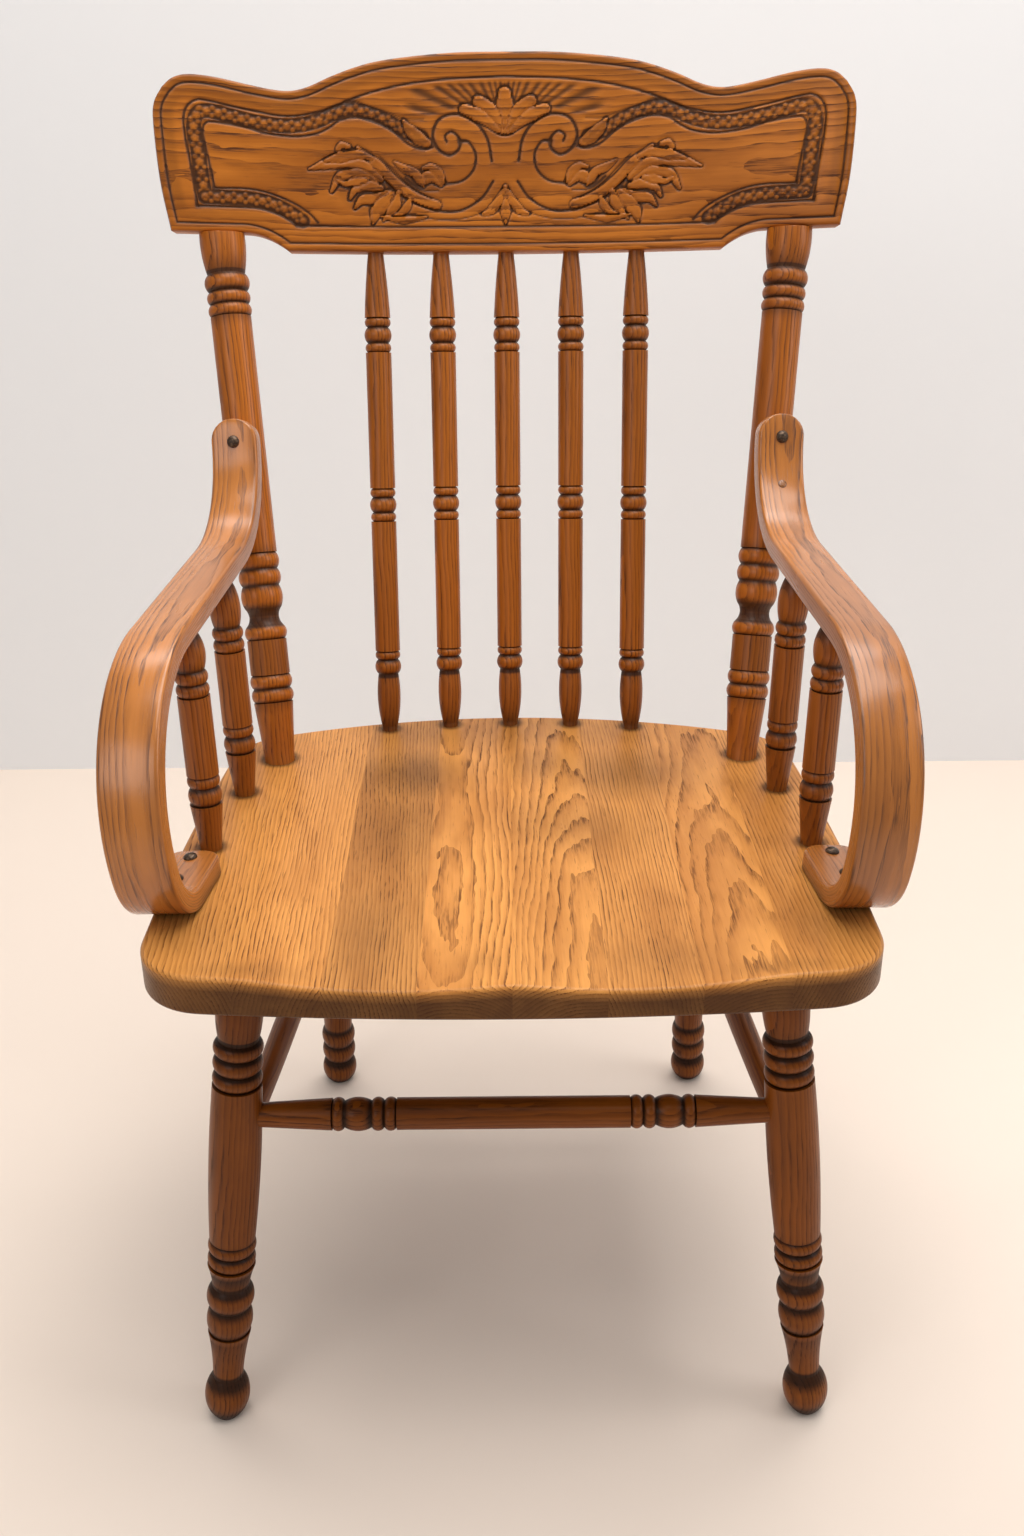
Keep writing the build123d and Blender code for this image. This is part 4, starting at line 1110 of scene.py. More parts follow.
    def rays(self, spots: Array) -> Array:
        """The height of the fan of rays behind the shell.

        Args:
            spots: how far aside and how far up the board each point is.

        Returns:
            The height at each point.
        """
        x, up = spots.T
        angle = np.arctan2(up - self.fan_height, x + 1e-6)
        ripple = 0.5 + 0.5 * np.cos(angle * self.ray_count + 1.3 * np.sin(angle * 9.0))
        line = np.interp(x, (0, 48, 89, 125), (147, 145, 140, 131))
        scroll = np.interp(x, (0, 20, 43, 64, 90), (100, 112, 119, 114, 117))
        shown = smooth_step(2.0, 6.0, line - up) * smooth_step(0.0, 3.5, up - scroll)
        return -(0.28 + 0.62 * ripple) * shown * (1.0 - smooth_step(78.0, 98.0, x))

    def relief(self, spots: Array) -> Array:
        """The height of the pressed face.

        Args:
            spots: how far aside and how far up the board each point is.

        Returns:
            The height at each point, 0 on the plain face.
        """
        height = self.rays(spots) + self.band(spots)
        for middle_x, middle_up, across, tall in self.leaf_grounds:
            reach = np.hypot((spots[:, 0] - middle_x) / across, (spots[:, 1] - middle_up) / tall)
            height = height - self.leaf_ground_depth * (1.0 - smooth_step(0.62, 1.02, reach))
        for mark in self.marks():
            pressed = self.press(mark, spots)
            if mark.dome:
                raised = np.maximum(pressed - 0.15, height)
                height = np.where(pressed > 0.0, raised, height + np.minimum(pressed, 0.0))
            else:
                height = height + pressed
        return np.clip(height, *self.relief_range)

    def rim_line(self, spots: Array, outline: Array) -> tuple[Array, Array]:
        """The scribed line inside the outline.

        Args:
            spots: how far aside and how far up the board each point is.
            outline: the drawn right half of the outline.

        Returns:
            The height at each point and its distance from the edge.
        """
        gap, _, _ = nearest_on(outline, spots)
        inset = gap - self.rim_line_inset
        return -0.95 * (bell(inset, 0.95) + 0.3 * bell(inset, 3.2)), gap

    def even(self, drawn: Array, count: int) -> Array:
        """Space points evenly along a drawn line, closer together at its ends.

        Args:
            drawn: the line.
            count: how many points to place.

        Returns:
            The points.
        """
        return respaced(drawn, self.stops(count) * travelled(drawn)[-1])

    @staticmethod
    def stops(count: int) -> Array:
        """Shares from 0 to 1, closer together at both ends."""
        even = np.linspace(0.0, 1.0, count)
        return even - 0.9 / count * np.sin(2 * np.pi * even) * 0.5

    def face_grid(self) -> tuple[Array, Array]:
        """Spread a grid over the crest's outline.

        Returns:
            The x and the up of each grid point, by column and row.
        """
        bottom, side, top = self.right_outline()
        columns = 2 * int(2 * self.half_width / self.grid / 2) + 1
        rows = 4 * int(self.height / self.grid / 4) + 1
        columns = 4 * (columns // 4) + 1
        flip = np.array([-1.0, 1.0])
        low = self.even(np.vstack([bottom[::-1] * flip, bottom[1:]]), columns)
        high = self.even(np.vstack([top * flip, top[::-1][1:]]), columns)
        right = self.even(side, rows)
        left = right * flip
        s = self.stops(columns)[:, None, None]
        t = self.stops(rows)[None, :, None]
        sides = (1 - s) * left[None] + s * right[None]
        ends = (1 - t) * low[:, None] + t * high[:, None]
        corners = ((1 - s) * (1 - t) * low[0] + s * (1 - t) * low[-1]
                   + (1 - s) * t * high[0] + s * t * high[-1])
        points = sides + ends - corners
        return points[..., 0], points[..., 1]

    def skin(self) -> Skin:
        """Build the crest: pressed front, rounded rim, plain back.

        Returns:
            The crest's skin.
        """
        x, up = self.face_grid()
        shape = x.shape
        bottom, side, top = self.right_outline()
        outline = np.vstack([bottom, side[1:], top[1:]])
        flat_x, flat_up = x.ravel(), up.ravel()
        spots = np.stack([np.abs(flat_x), flat_up], axis=1)
        scribe, gap = self.rim_line(spots, outline)
        height = self.relief(spots) + scribe
        fall = np.clip(self.edge_round - gap, 0.0, self.edge_round)
        height = height - (self.edge_round - np.sqrt(self.edge_round**2 - fall**2))
        front = self.place(flat_x, flat_up, height)
        back = self.place(flat_x, flat_up, np.full(len(flat_x), -self.thickness))
        recess = np.clip(-(height + 0.12) / 1.15, 0.0, 1.0)
        recess[gap < self.edge_round] *= 0.35
        # Painted shade on the rim rail, which the top lamp lights more than the face; the border band of
        # rosettes is darkened too.
        rail = (1.0 - smooth_step(14.0, 20.0, gap)) * smooth_step(18.0, 40.0, flat_up)
        border = np.abs(self.band(spots)) > 0.02
        stain_and_shade = np.maximum(0.36 * rail, 0.34 * border)
        plain = np.zeros(len(recess))
        grain = np.stack([np.tile(flat_up, 2), np.concatenate([height, height - self.thickness]),
                          np.tile(flat_x, 2)], axis=1) * MM + np.array(self.heart)
        return Skin(to_frame(np.vstack([front, back])), self.faces(shape), grain,
                    np.concatenate([recess, plain]), np.concatenate([stain_and_shade, plain]))

    @staticmethod
    def faces(shape: tuple[int, int]) -> list[tuple[int, ...]]:
        """Faces of the front, the back and the wall between them.

        Args:
            shape: columns and rows of the grid.

        Returns:
            The faces, with the back in cells of four by four that keep every rim corner.
        """
        columns, rows = shape
        number = np.arange(columns * rows).reshape(shape)
        a, b = number[:-1, :-1].ravel(), number[1:, :-1].ravel()
        c, d = number[1:, 1:].ravel(), number[:-1, 1:].ravel()
        faces = [tuple(quad) for quad in np.stack([a, b, c, d], axis=1).tolist()]
        behind = number + columns * rows
        for i in range(0, columns - 1, 4):
            for j in range(0, rows - 1, 4):
                lower = list(range(i, i + 5)) if j == 0 else [i, i + 4]
                upper = list(range(i + 4, i - 1, -1)) if j + 4 == rows - 1 else [i + 4, i]
                right = list(range(j + 1, j + 4)) if i + 4 == columns - 1 else []
                left = list(range(j + 3, j, -1)) if i == 0 else []
                cell = [behind[k, j] for k in lower] + [behind[i + 4, k] for k in right]
                cell += [behind[k, j + 4] for k in upper] + [behind[i, k] for k in left]
                faces.append(tuple(int(k) for k in reversed(cell)))
        rim = [*number[:, 0], *number[-1, 1:], *number[::-1, -1][1:], *number[0, ::-1][1:-1]]
        for first, second in zip(rim, rim[1:] + rim[:1]):
            wall = (second, first, behind.flat[first], behind.flat[second])
            faces.append(tuple(int(k) for k in wall))
        return faces

    def build(self, shop: Workshop) -> None:
        """Make the crest and set it in place.

        Args:
            shop: where it is finished.
        """
        mesh = shop.mesh("pressed_crest", self.skin(), 0.0)
        work = bmesh.new()
        work.from_mesh(mesh)
        unused = [corner for corner in work.verts if not corner.link_faces]
        bmesh.ops.delete(work, geom=unused, context="VERTS")
        work.to_mesh(mesh)
        work.free()
        shop.finish("pressed_crest", mesh, Slot.CREST, ["crest_rail"])


# Seat

Foothold = tuple[float, float, float]


class StainAndShade(NamedTuple):
    """A dark patch on the seat: its middle, its reach across and along, and its strength."""

    x: float
    y: float
    across: float
    along: float
    strength: float


@dataclass
class Seat:
    """The glued-up saddle seat."""

    height: float = 449.0
    thickness: float = 32.0
    edge_round: float = 3.6
    under_round: float = 4.0
    scoop_offset: float = 90.0
    scoop_depth: float = 8.5
    scoop_lowest_y: float = 95.0
    scoop_radius_across: float = 600.0
    scoop_radius_along: float = 4500.0
    blend: float = 2.5
    rim_points: int = 400
    rings: int = 52
    middle_y: float = 235.0
    under_shares: Place = (0.75, 0.5, 0.25)
    edge_drops: Place = (10.0, 16.0, 22.0)
    # Darkening round each base on the seat: soiling and painted contact shade.
    socket_soil_and_shade: float = 0.75
    socket_reach: float = 6.0
    # Painted shade on the seat's edge and underside.
    edge_shade: float = 1.30
    grain_step: float = 0.59
    grain_skew: float = 0.030
    grain_rise: float = 0.032
    tones: tuple[float, ...] = (0.00, 0.06, -0.14, 0.08, 0.02, -0.05, 0.05, 0.00)
    hearts: tuple[Point, ...] = ((0.072, 0.06), (-0.080, 0.05), (0.095, 0.04), (0.008, 0.075),
                                 (-0.030, 0.090), (0.085, 0.045), (-0.024, 0.080), (-0.075, 0.06))
    # Dark patches on the seat; the two strongest, at the back slopes of the thigh scoops, are painted shade
    # of those slopes.
    stains_and_shade: tuple[StainAndShade, ...] = (
        StainAndShade(-88.0, 348.0, 46.0, 46.0, 0.88), StainAndShade(102.0, 345.0, 56.0, 50.0, 0.78),
        StainAndShade(32.0, 366.0, 40.0, 38.0, 0.60), StainAndShade(54.0, 248.0, 64.0, 46.0, 0.52),
        StainAndShade(-94.0, 250.0, 38.0, 70.0, 0.46), StainAndShade(-106.0, 78.0, 28.0, 70.0, 0.44),
        StainAndShade(0.0, 440.0, 150.0, 52.0, 0.48), StainAndShade(-238.0, 70.0, 34.0, 44.0, 0.52),
        StainAndShade(240.0, 72.0, 34.0, 44.0, 0.52), StainAndShade(112.0, 42.0, 52.0, 28.0, 0.30),
        StainAndShade(-22.0, 36.0, 18.0, 18.0, 0.34), StainAndShade(-200.0, 22.0, 60.0, 12.0, 0.40),
        StainAndShade(200.0, 22.0, 60.0, 12.0, 0.40),
    )

    def outline(self) -> Array:
        """The seat's outline seen from above, read from the boards of the frame.

        Returns:
            Evenly spaced points in chair millimetres.
        """
        seen = []
        for number in range(1, SEAT_BOARD_COUNT + 1):
            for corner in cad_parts[f"seat_board_{number}"].data.vertices:
                seen.append((corner.co.x / MM, (corner.co.y - FRAME_SHIFT[1]) / MM))
        hull = np.array([seen[i] for i in convex_hull_2d(seen)])
        closed = np.vstack([hull, hull[:1]])
        even = respaced(closed, np.linspace(0.0, travelled(closed)[-1], self.rim_points, endpoint=False))
        for _ in range(2):
            even = (np.roll(even, 1, axis=0) + 2 * even + np.roll(even, -1, axis=0)) / 4
        return even

    def scoop(self, x: Array, y: Array) -> Array:
        """How deep the two thigh scoops lie below the flat of the seat.

        Args:
            x: distances from the middle.
            y: distances from the front edge.

        Returns:
            The depth at each point.
        """
        along = (y - self.scoop_lowest_y)**2 / (2 * self.scoop_radius_along)
        depths = [self.scoop_depth - along - (x - at)**2 / (2 * self.scoop_radius_across)
                  for at in (-self.scoop_offset, self.scoop_offset)]
        deeper = (depths[0] + depths[1] + np.sqrt((depths[0] - depths[1])**2 + self.blend**2)) / 2
        return (deeper + np.sqrt(deeper**2 + self.blend**2)) / 2

    def section(self) -> list[tuple[float, float, bool]]:
        """The seat's edge from the top round to the underside.

        Returns:
            For each station the inset, the drop or rise, and whether it is measured from the top.
        """
        quarter = np.linspace(0.0, math.pi / 2, 7)
        top, under = self.edge_round, self.under_round
        upper = [(top * (1 - math.sin(a)), top * (1 - math.cos(a)), True) for a in quarter]
        lower = [(under * (1 - math.cos(a)), under * (1 - math.sin(a)), False) for a in quarter]
        return upper + [(0.0, drop, True) for drop in self.edge_drops] + lower

    def skin(self, sockets: list[Foothold]) -> Skin:
        """Build the whole seat as one closed skin.

        Args:
            sockets: x, y and radius of everything that stands on the seat, round which soiling and painted
                contact shade are put.

        Returns:
            The seat's skin.
        """
        rim = self.outline()
        ahead = np.roll(rim, -1, axis=0) - np.roll(rim, 1, axis=0)
        inward = np.stack([-ahead[:, 1], ahead[:, 0]], axis=1)
        inward /= np.linalg.norm(inward, axis=1)[:, None]
        middle = np.array([0.0, self.middle_y])
        if ((middle - rim) * inward).sum() < 0:
            inward = -inward
        inner, under = rim + inward * self.edge_round, rim + inward * self.under_round
        shares = np.linspace(0.0, 1.0, self.rings + 1)[1:-1]
        rows = [(middle + (inner - middle) * share**0.8, 0.0, True) for share in shares]
        rows += [(rim + inward * inset, drop, top) for inset, drop, top in self.section()]
        rows += [(middle + (under - middle) * share, 0.0, False) for share in self.under_shares]
        points = np.concatenate([self.lift(*row) for row in rows])
        poles = np.concatenate([self.lift(middle[None], 0.0, top) for top in (True, False)])
        count = self.rim_points
        faces = tube_faces(len(rows), count)
        top_pole = len(points)
        last = (len(rows) - 1) * count
        for i in range(count):
            j = (i + 1) % count
            faces.append((top_pole, j, i))
            faces.append((top_pole + 1, last + i, last + j))
        corners = np.vstack([points, poles])
        recess, stain_and_shade = self.dirt_and_shade(corners, sockets)
        grain = corners[:, [0, 2, 1]] * MM
        return Skin(to_frame(corners), faces, grain, recess, stain_and_shade)

    def lift(self, ring: Array, drop: float, top: bool) -> Array:
        """Give a ring of the seat its heights.

        Args:
            ring: the x and y of each point.
            drop: the drop from the top, or the rise from the underside.
            top: whether the ring is measured from the top.

        Returns:
            The ring's points.
        """
        if not top:
            return np.column_stack([ring, np.full(len(ring), self.height - self.thickness + drop)])
        scoop = self.scoop(*ring.T)
        drops = np.minimum(drop, self.thickness - self.under_round - scoop)
        return np.column_stack([ring, self.height - scoop - drops])

    def dirt_and_shade(self, corners: Array, sockets: list[Foothold]) -> tuple[Array, Array]:
        """Where the seat is darkened: soiling and staining, and painted shade round its bases, on its edge
        and underside and in its scoops.

        Args:
            corners: the seat's points.
            sockets: x, y and radius of what stands on it.

        Returns:
            The darkening round the bases, and the staining with painted shade, of each point.
        """
        x, y, z = corners.T
        recess = np.zeros(len(corners))
        on_top = z > self.height - self.thickness / 2
        # Soiling and painted contact shade round each base.
        for at_x, at_y, radius in sockets:
            gap = np.clip(np.hypot(x - at_x, y - at_y) - radius, 0.0, None)
            recess = np.maximum(recess, self.socket_soil_and_shade * np.exp(-gap**2 / self.socket_reach**2) * on_top)
        # Painted shade on the edge and the underside, below the top surface.
        below = np.clip((self.height - 2.2 - self.scoop(x, y) - z) / 3.0, 0.0, 1.0)
        stain_and_shade = np.zeros(len(corners))
        # Staining, with painted shade at the back slopes of the scoops.
        for patch in self.stains_and_shade:
            reach = ((x - patch.x) / patch.across)**2 + ((y - patch.y) / patch.along)**2
            stain_and_shade = np.maximum(stain_and_shade, patch.strength * np.exp(-reach))
        return recess, np.maximum(stain_and_shade, self.edge_shade * below)

    def build(self, shop: Workshop, sockets: list[Foothold]) -> None:
        """Make the seat and saw it into its boards.

        Args:
            shop: where the boards are finished.
            sockets: x, y and radius of what stands on the seat.
        """
        whole = shop.mesh("seat_blank", self.skin(sockets), 0.0)
        for number, tone in enumerate(self.tones, start=1):
            node = f"seat_board_{number}"
            low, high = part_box(node)
            mesh = self.sawn(whole, low.x, high.x, f"seat_plank_{number}")
            self.shift_grain(mesh, number, (low.x + high.x) / 2, tone)
            shop.finish(f"seat_plank_{number}", mesh, Slot.SEAT, [node])
        bpy.data.meshes.remove(whole)

    @staticmethod
    def sawn(whole: bpy.types.Mesh, low: float, high: float, name: str) -> bpy.types.Mesh:
        """Saw one board out of the seat.

        Args:
            whole: the seat.
            low: the board's left edge.
            high: its right edge.
            name: the new mesh's name.

        Returns:
            The board's mesh, closed where it was sawn.
        """
        work = bmesh.new()
        work.from_mesh(whole)
        for at, outward in ((low, -1.0), (high, 1.0)):
            geometry = work.verts[:] + work.edges[:] + work.faces[:]
            cut = bmesh.ops.bisect_plane(work, geom=geometry, dist=1e-6, plane_co=(at, 0.0, 0.0),
                                         plane_no=(outward, 0.0, 0.0), clear_outer=True)
            edges = [item for item in cut["geom_cut"] if isinstance(item, bmesh.types.BMEdge)]
            if len(edges) > 2:
                bmesh.ops.edgeloop_fill(work, edges=edges)
        mesh = bpy.data.meshes.new(name)
        work.to_mesh(mesh)
        work.free()
        Workshop.face_outwards(mesh)
        return mesh

    def shift_grain(self, mesh: bpy.types.Mesh, number: int, middle: float, tone: float) -> None:
        """Give a board its own part of the grain and its own tone.

        Args:
            mesh: the board's mesh.
            number: the board's number.
            middle: the board's middle, from which the heart of its rings is measured.
            tone: how much lighter or darker than its finish it is.
        """
        aside, below = self.hearts[number - 1]
        count = len(mesh.vertices)
        grain = np.zeros(count * 3)
        layer = mesh.attributes[Paint.GRAIN.value]
        layer.data.foreach_get("vector", grain)
        along = grain[2::3].copy()
        grain = grain.reshape(-1, 3)
        grain += (aside - middle, below - self.height * MM, self.grain_step * number)
        grain[:, 0] += self.grain_skew * along
        grain[:, 1] += (self.grain_rise if number % 2 else -self.grain_rise) * along
        layer.data.foreach_set("vector", grain.ravel())
        mesh.attributes[Paint.TONE.value].data.foreach_set("value", np.full(count, tone))


# Back

@dataclass
class Back:
    """The posts and spindles between seat and crest. A pair is a length and a diameter."""

    seat_height: float = 449.0
    post_base: Place = (-215.5, 379.5, 449.0)
    post_top_inset: float = 49.0
    post_tenon: float = 24.0
    post_dia: float = 36.0
    post_base_dia: float = 28.0
    post_groove_dia: float = 33.0
    post_ring_dia: float = 38.5
    post_cup_dia: float = 39.5
    post_taper: float = 48.0
    post_foot_ring: float = 13.0
    post_lower_drum: float = 32.0
    post_waist: Point = (16.0, 27.0)
    post_bulb: Point = (20.5, 38.0)
    post_wide_ring: float = 15.0
    post_head_ring: float = 11.0
    post_collar: Point = (15.0, 40.0)
    post_cup: float = 36.0
    post_stub: float = 14.0
    post_tone: float = 0.10
    spindle_count: int = 5
    spindle_base_pitch: float = 58.8
    spindle_top_pitch: float = 59.5
    spindle_inset: float = 16.0
    spindle_tenon: float = 20.0
    spindle_dia: float = 23.6
    spindle_end_dia: float = 14.5
    spindle_groove_dia: float = 19.0
    spindle_ring: Point = (8.5, 23.8)
    spindle_ball: Point = (14.0, 25.0)
    spindle_foot: Point = (52.0, 22.0)
    spindle_head: Point = (54.0, 20.0)
    spindle_stub: float = 18.0
    spindle_tone: float = -0.12
    seat_depth: float = 476.0
    seat_rear_half_width: float = 257.0
    seat_rear_sag: float = 56.0

    def post_top(self, crest: Crest) -> Place:
        """Where the left post meets the crest."""
        return crest.middle(self.post_top_inset - crest.half_width, crest.corner_rise)

    def post_stick(self, ends: Ends) -> list[Stretch]:
        """The post's stretches from its seat tenon up.

        Args:
            ends: where the post leaves the seat and where it meets the crest.

        Returns:
            The stretches.
        """
        groove, foot_dia = self.post_groove_dia, self.post_base_dia
        lengths = self.post_head_ring, self.post_foot_ring, self.post_wide_ring
        ring, low_ring, wide = (bead(length, self.post_ring_dia, groove) for length in lengths)
        foot = [
            straight(self.post_tenon + collar(ends, foot_dia), foot_dia),
            straight(self.post_taper, foot_dia, self.post_dia), low_ring, low_ring,
            straight(self.post_lower_drum, self.post_dia), low_ring, bead(*self.post_waist, groove),
            bead(*self.post_bulb, groove), wide, wide,
        ]
        head = [ring, ring, bead(*self.post_collar, groove),
                swell(self.post_cup, groove, self.post_cup_dia, self.post_cup_dia)]
        drum = math.dist(*ends) + self.post_tenon - stick_length(foot + head)
        return foot + [straight(drum, self.post_dia)] + head + [straight(self.post_stub, self.post_cup_dia)]

    def spindle_stick(self, ends: Ends) -> list[Stretch]:
        """A back spindle's stretches from its seat tenon up.

        Args:
            ends: where the spindle leaves the seat and where it meets the crest.

        Returns:
            The stretches.
        """
        end, groove = self.spindle_end_dia, self.spindle_groove_dia
        neck = collar(ends, end)
        ring, ball = bead(*self.spindle_ring, groove), bead(*self.spindle_ball, groove)
        foot_length, foot_dia = self.spindle_foot
        head_length, head_dia = self.spindle_head
        foot = [straight(self.spindle_tenon + neck, end), swell(foot_length, end, foot_dia, groove),
                ball, ring]
        waist = [ring, ball, ring]
        head = [*waist, swell(head_length, self.spindle_dia, head_dia, end), straight(neck, end)]
        rest = math.dist(*ends) + self.spindle_tenon - stick_length(foot + waist + head)
        drum = straight(rest / 2, self.spindle_dia)
        return foot + [drum] + waist + [drum] + head + [straight(self.spindle_stub, end)]

    def spindle_ends(self, index: int, crest: Crest) -> Ends:
        """Where a back spindle leaves the seat and where it meets the crest.

        Args:
            index: the spindle's number from the left, from 0.
            crest: the crest rail.

        Returns:
            The two points.
        """
        step = index - (self.spindle_count - 1) / 2
        base_x = step * self.spindle_base_pitch
        radius = (self.seat_rear_half_width**2 + self.seat_rear_sag**2) / (2 * self.seat_rear_sag)
        edge = self.seat_depth - radius + math.sqrt(radius**2 - base_x**2)
        base = (base_x, edge - self.spindle_inset, self.seat_height)
        return base, crest.middle(step * self.spindle_top_pitch, 0.0)

    def build(self, lathe: Lathe, crest: Crest) -> None:
        """Turn the posts and the spindles.

        Args:
            lathe: where they are turned.
            crest: the crest that they carry.
        """
        lean = math.radians(crest.lean_degrees)
        up = np.array([0.0, math.sin(lean), math.cos(lean)])
        level = to_frame(np.array([0.0, crest.bottom_y, crest.bottom_height]) + up * crest.corner_rise)

        def under_crest(corners: Array, axis: Array) -> Array:
            """Cut a post off at the crest's lower edge."""
            over = np.clip((corners - level) @ up, 0.0, None)
            return corners - (over / (axis @ up))[:, None] * axis

        top = self.post_top(crest)
        for name, side in SIDES.items():
            ends = sided(self.post_base, side), sided(top, side)
            lathe.turn(f"back_post_{name}", self.post_stick(ends), ends, self.post_tenon, Slot.BACK,
                       self.post_tone - 0.04 * side, under_crest)
        for index in range(self.spindle_count):
            ends = self.spindle_ends(index, crest)
            lathe.turn(f"back_spindle_{index + 1}", self.spindle_stick(ends), ends, self.spindle_tenon,
                       Slot.BACK, self.spindle_tone + 0.05 * ((index * 3) % 4))


# Arms

class Station(NamedTuple):
    """A place on the middle line of the band: where, the heading in degrees, and the length so far."""

    at: Array
    heading: float
    along: float


@dataclass
class Arms:
    """The bentwood arms with their spindles and screws. A pair is a length and a diameter."""

    width: float = 46.5
    top_width: float = 41.0
    thickness: float = 17.0
    plane_x: float = 254.0
    plane_y: float = 140.0
    seat_height: float = 449.0
    yaw_degrees: float = 6.0
    lean_degrees: float = 4.0
    foot_end: float = 30.0
    foot_flat: float = 55.0
    heel_radius: float = 45.0
    heel_turn: float = 78.0
    front_radius: float = 123.0
    rest_rise: float = 4.5
    back_radius: float = 105.0
    tip_flat: float = 23.6
    bedding: float = 2.5
    post_radius: float = 18.0
    tip_round: float = 18.5
    foot_round: float = 12.0
    edge_round: float = 3.0
    step: float = 3.0
    end_steps: tuple[float, ...] = (0.0, 0.35, 0.9, 1.6)
    # Painted contact shade on the arm's foot just above the seat.
    foot_shade: float = 0.8
    foot_shade_reach: float = 5.0
    spindle_rake: float = 12.0
    spindle_inset: float = 8.0
    spindle_bases: tuple[tuple[str, float, float], ...] = (("front", 246.5, 204.5), ("rear", 236.0, 307.5))
    spindle_tips: Point = (32.0, 40.0)
    spindle_tenon: float = 18.0
    spindle_socket_radius: float = 9.0
    spindle_dia: float = 26.0
    spindle_foot_dia: float = 17.8
    spindle_top_dia: float = 15.0
    spindle_groove_dia: float = 21.5
    spindle_taper: float = 38.0
    spindle_wide_ring: Point = (15.0, 27.2)
    spindle_ring: Point = (10.5, 26.4)
    spindle_stub: float = 7.0
    foot_screws: Point = (11.0, 46.0)
    tip_screw: float = 20.0
    plug: float = 66.0
    plug_dia: float = 7.5
    plug_sides: int = 28
    plug_profile: tuple[Point, ...] = ((1.0, -1.5), (1.0, 0.15), (0.9, 0.45), (0.45, 0.6))
    # Painted shade round the plug's foot where it meets the arm, fading towards its top.
    plug_rim_shade: tuple[float, ...] = (1.0, 0.9, 0.35, 0.2)
    plug_tone: float = -0.3

    def basis(self) -> Array:
        """Directions of the left arm's plane.

        Returns:
            By column: backwards, up, and inwards across the band.
        """
        yaw, lean = math.radians(self.yaw_degrees), math.radians(self.lean_degrees)
        back = np.array([math.sin(yaw), math.cos(yaw), 0.0])
        inward = np.array([math.cos(yaw) * math.cos(lean), -math.sin(yaw) * math.cos(lean), math.sin(lean)])
        return np.stack([back, np.cross(inward, back), inward], axis=1)

    def origin(self) -> Array:
        """The origin of the left arm's plane."""
        return np.array([-self.plane_x, self.plane_y, self.seat_height])

    def to_chair(self, local: Array) -> Array:
        """Points of the left arm's plane in chair millimetres."""
        return self.origin() + np.asarray(local, float) @ self.basis().T

    def from_chair(self, point: Place) -> Array:
        """A point of the chair in the left arm's plane."""
        return (np.array(point, float) - self.origin()) @ self.basis()

    def stations(self, post: Ends) -> list[Station]:
        """Walk the middle line of the band from the foot's end to the tip.

        Args:
            post: where the left post leaves the seat and where it meets the crest.

        Returns:
            Closely spaced stations.
        """
        base, top = (self.from_chair(end) for end in post)
        slope = math.degrees(math.atan2(top[1] - base[1], top[0] - base[0]))
        drop = self.width / 2 * math.sin(math.radians(self.lean_degrees))
        start = np.array([self.foot_end, self.thickness / 2 - drop])
        moves = [(self.foot_flat, 0.0), (self.heel_radius, -self.heel_turn),
                 (self.front_radius, self.heel_turn + self.rest_rise - 180.0)]
        before = self.walk(start, 180.0, moves + [(1.0, 0.0), (self.back_radius, slope - self.rest_rise)])[-1]
        across = self.direction(slope + 90.0)
        clear = self.post_radius - self.bedding + self.thickness / 2
        missing = (base[:2] + across * clear - before.at) @ across
        rest = 1.0 + missing / (self.direction(self.rest_rise) @ across)
        moves += [(rest, 0.0), (self.back_radius, slope - self.rest_rise), (self.tip_flat, 0.0)]
        return self.walk(start, 180.0, moves)

    @staticmethod
    def direction(degrees: float) -> Array:
        """The unit vector of a heading."""
        return np.array([math.cos(math.radians(degrees)), math.sin(math.radians(degrees))])

    def walk(self, start: Array, heading: float, moves: list[tuple[float, float]]) -> list[Station]:
        """Follow straight runs, given as a length and 0, and bends, given as a radius and a turn.

        Args:
            start: the first place.
            heading: the first heading, in degrees.
            moves: the runs and bends in order.

        Returns:
            The stations passed.
        """
        stations = [Station(start, heading, 0.0)]
        for size, turn in moves:
            at, heading, along = stations[-1]
            length = size if turn == 0.0 else abs(math.radians(turn)) * size
            count = max(2, int(length / self.step))
            for share in np.linspace(0.0, 1.0, count + 1)[1:]:
                if turn == 0.0:
                    place = at + self.direction(heading) * size * share
                else:
                    hand = math.copysign(1.0, turn)
                    centre = at + self.direction(heading + 90.0) * hand * size
                    place = centre - self.direction(heading + turn * share + 90.0) * hand * size
                stations.append(Station(place, heading + turn * share, along + length * share))
        return stations

    def half_width(self, station: Station, ends: tuple[float, float], total: float) -> float:
        """Half the band's width at a station, drawn in at its rounded ends.

        Args:
            station: the station.
            ends: the foremost and the rearmost place of the band.
            total: the band's length.

        Returns:
            The half width.
        """
        share = np.clip((station.at[0] - ends[0]) / (ends[1] - ends[0]), 0.0, 1.0)
        half = (self.width + share * (self.top_width - self.width)) / 2
        for gap, radius in ((station.along, self.foot_round), (total - station.along, self.tip_round)):
            if gap < radius:
                half -= radius - math.sqrt(max(radius**2 - (radius - gap)**2, 0.0))
        return half

    def section(self, half: float) -> Array:
        """The rounded rectangle of the band, across its thickness and its width.

        Args:
            half: half the width.

        Returns:
            The section's points, in order.
        """
        radius = min(self.edge_round, half * 0.95)
        quarter = np.linspace(0.0, math.pi / 2, 5)
        points = []
        for sign_t, sign_w, start in ((1, 1, 0.0), (-1, 1, 1.0), (-1, -1, 2.0), (1, -1, 3.0)):
            for angle in quarter + start * math.pi / 2:
                points.append((sign_t * (self.thickness / 2 - radius) + radius * math.cos(angle),
                               sign_w * (half - radius) + radius * math.sin(angle)))
        return np.array(points)

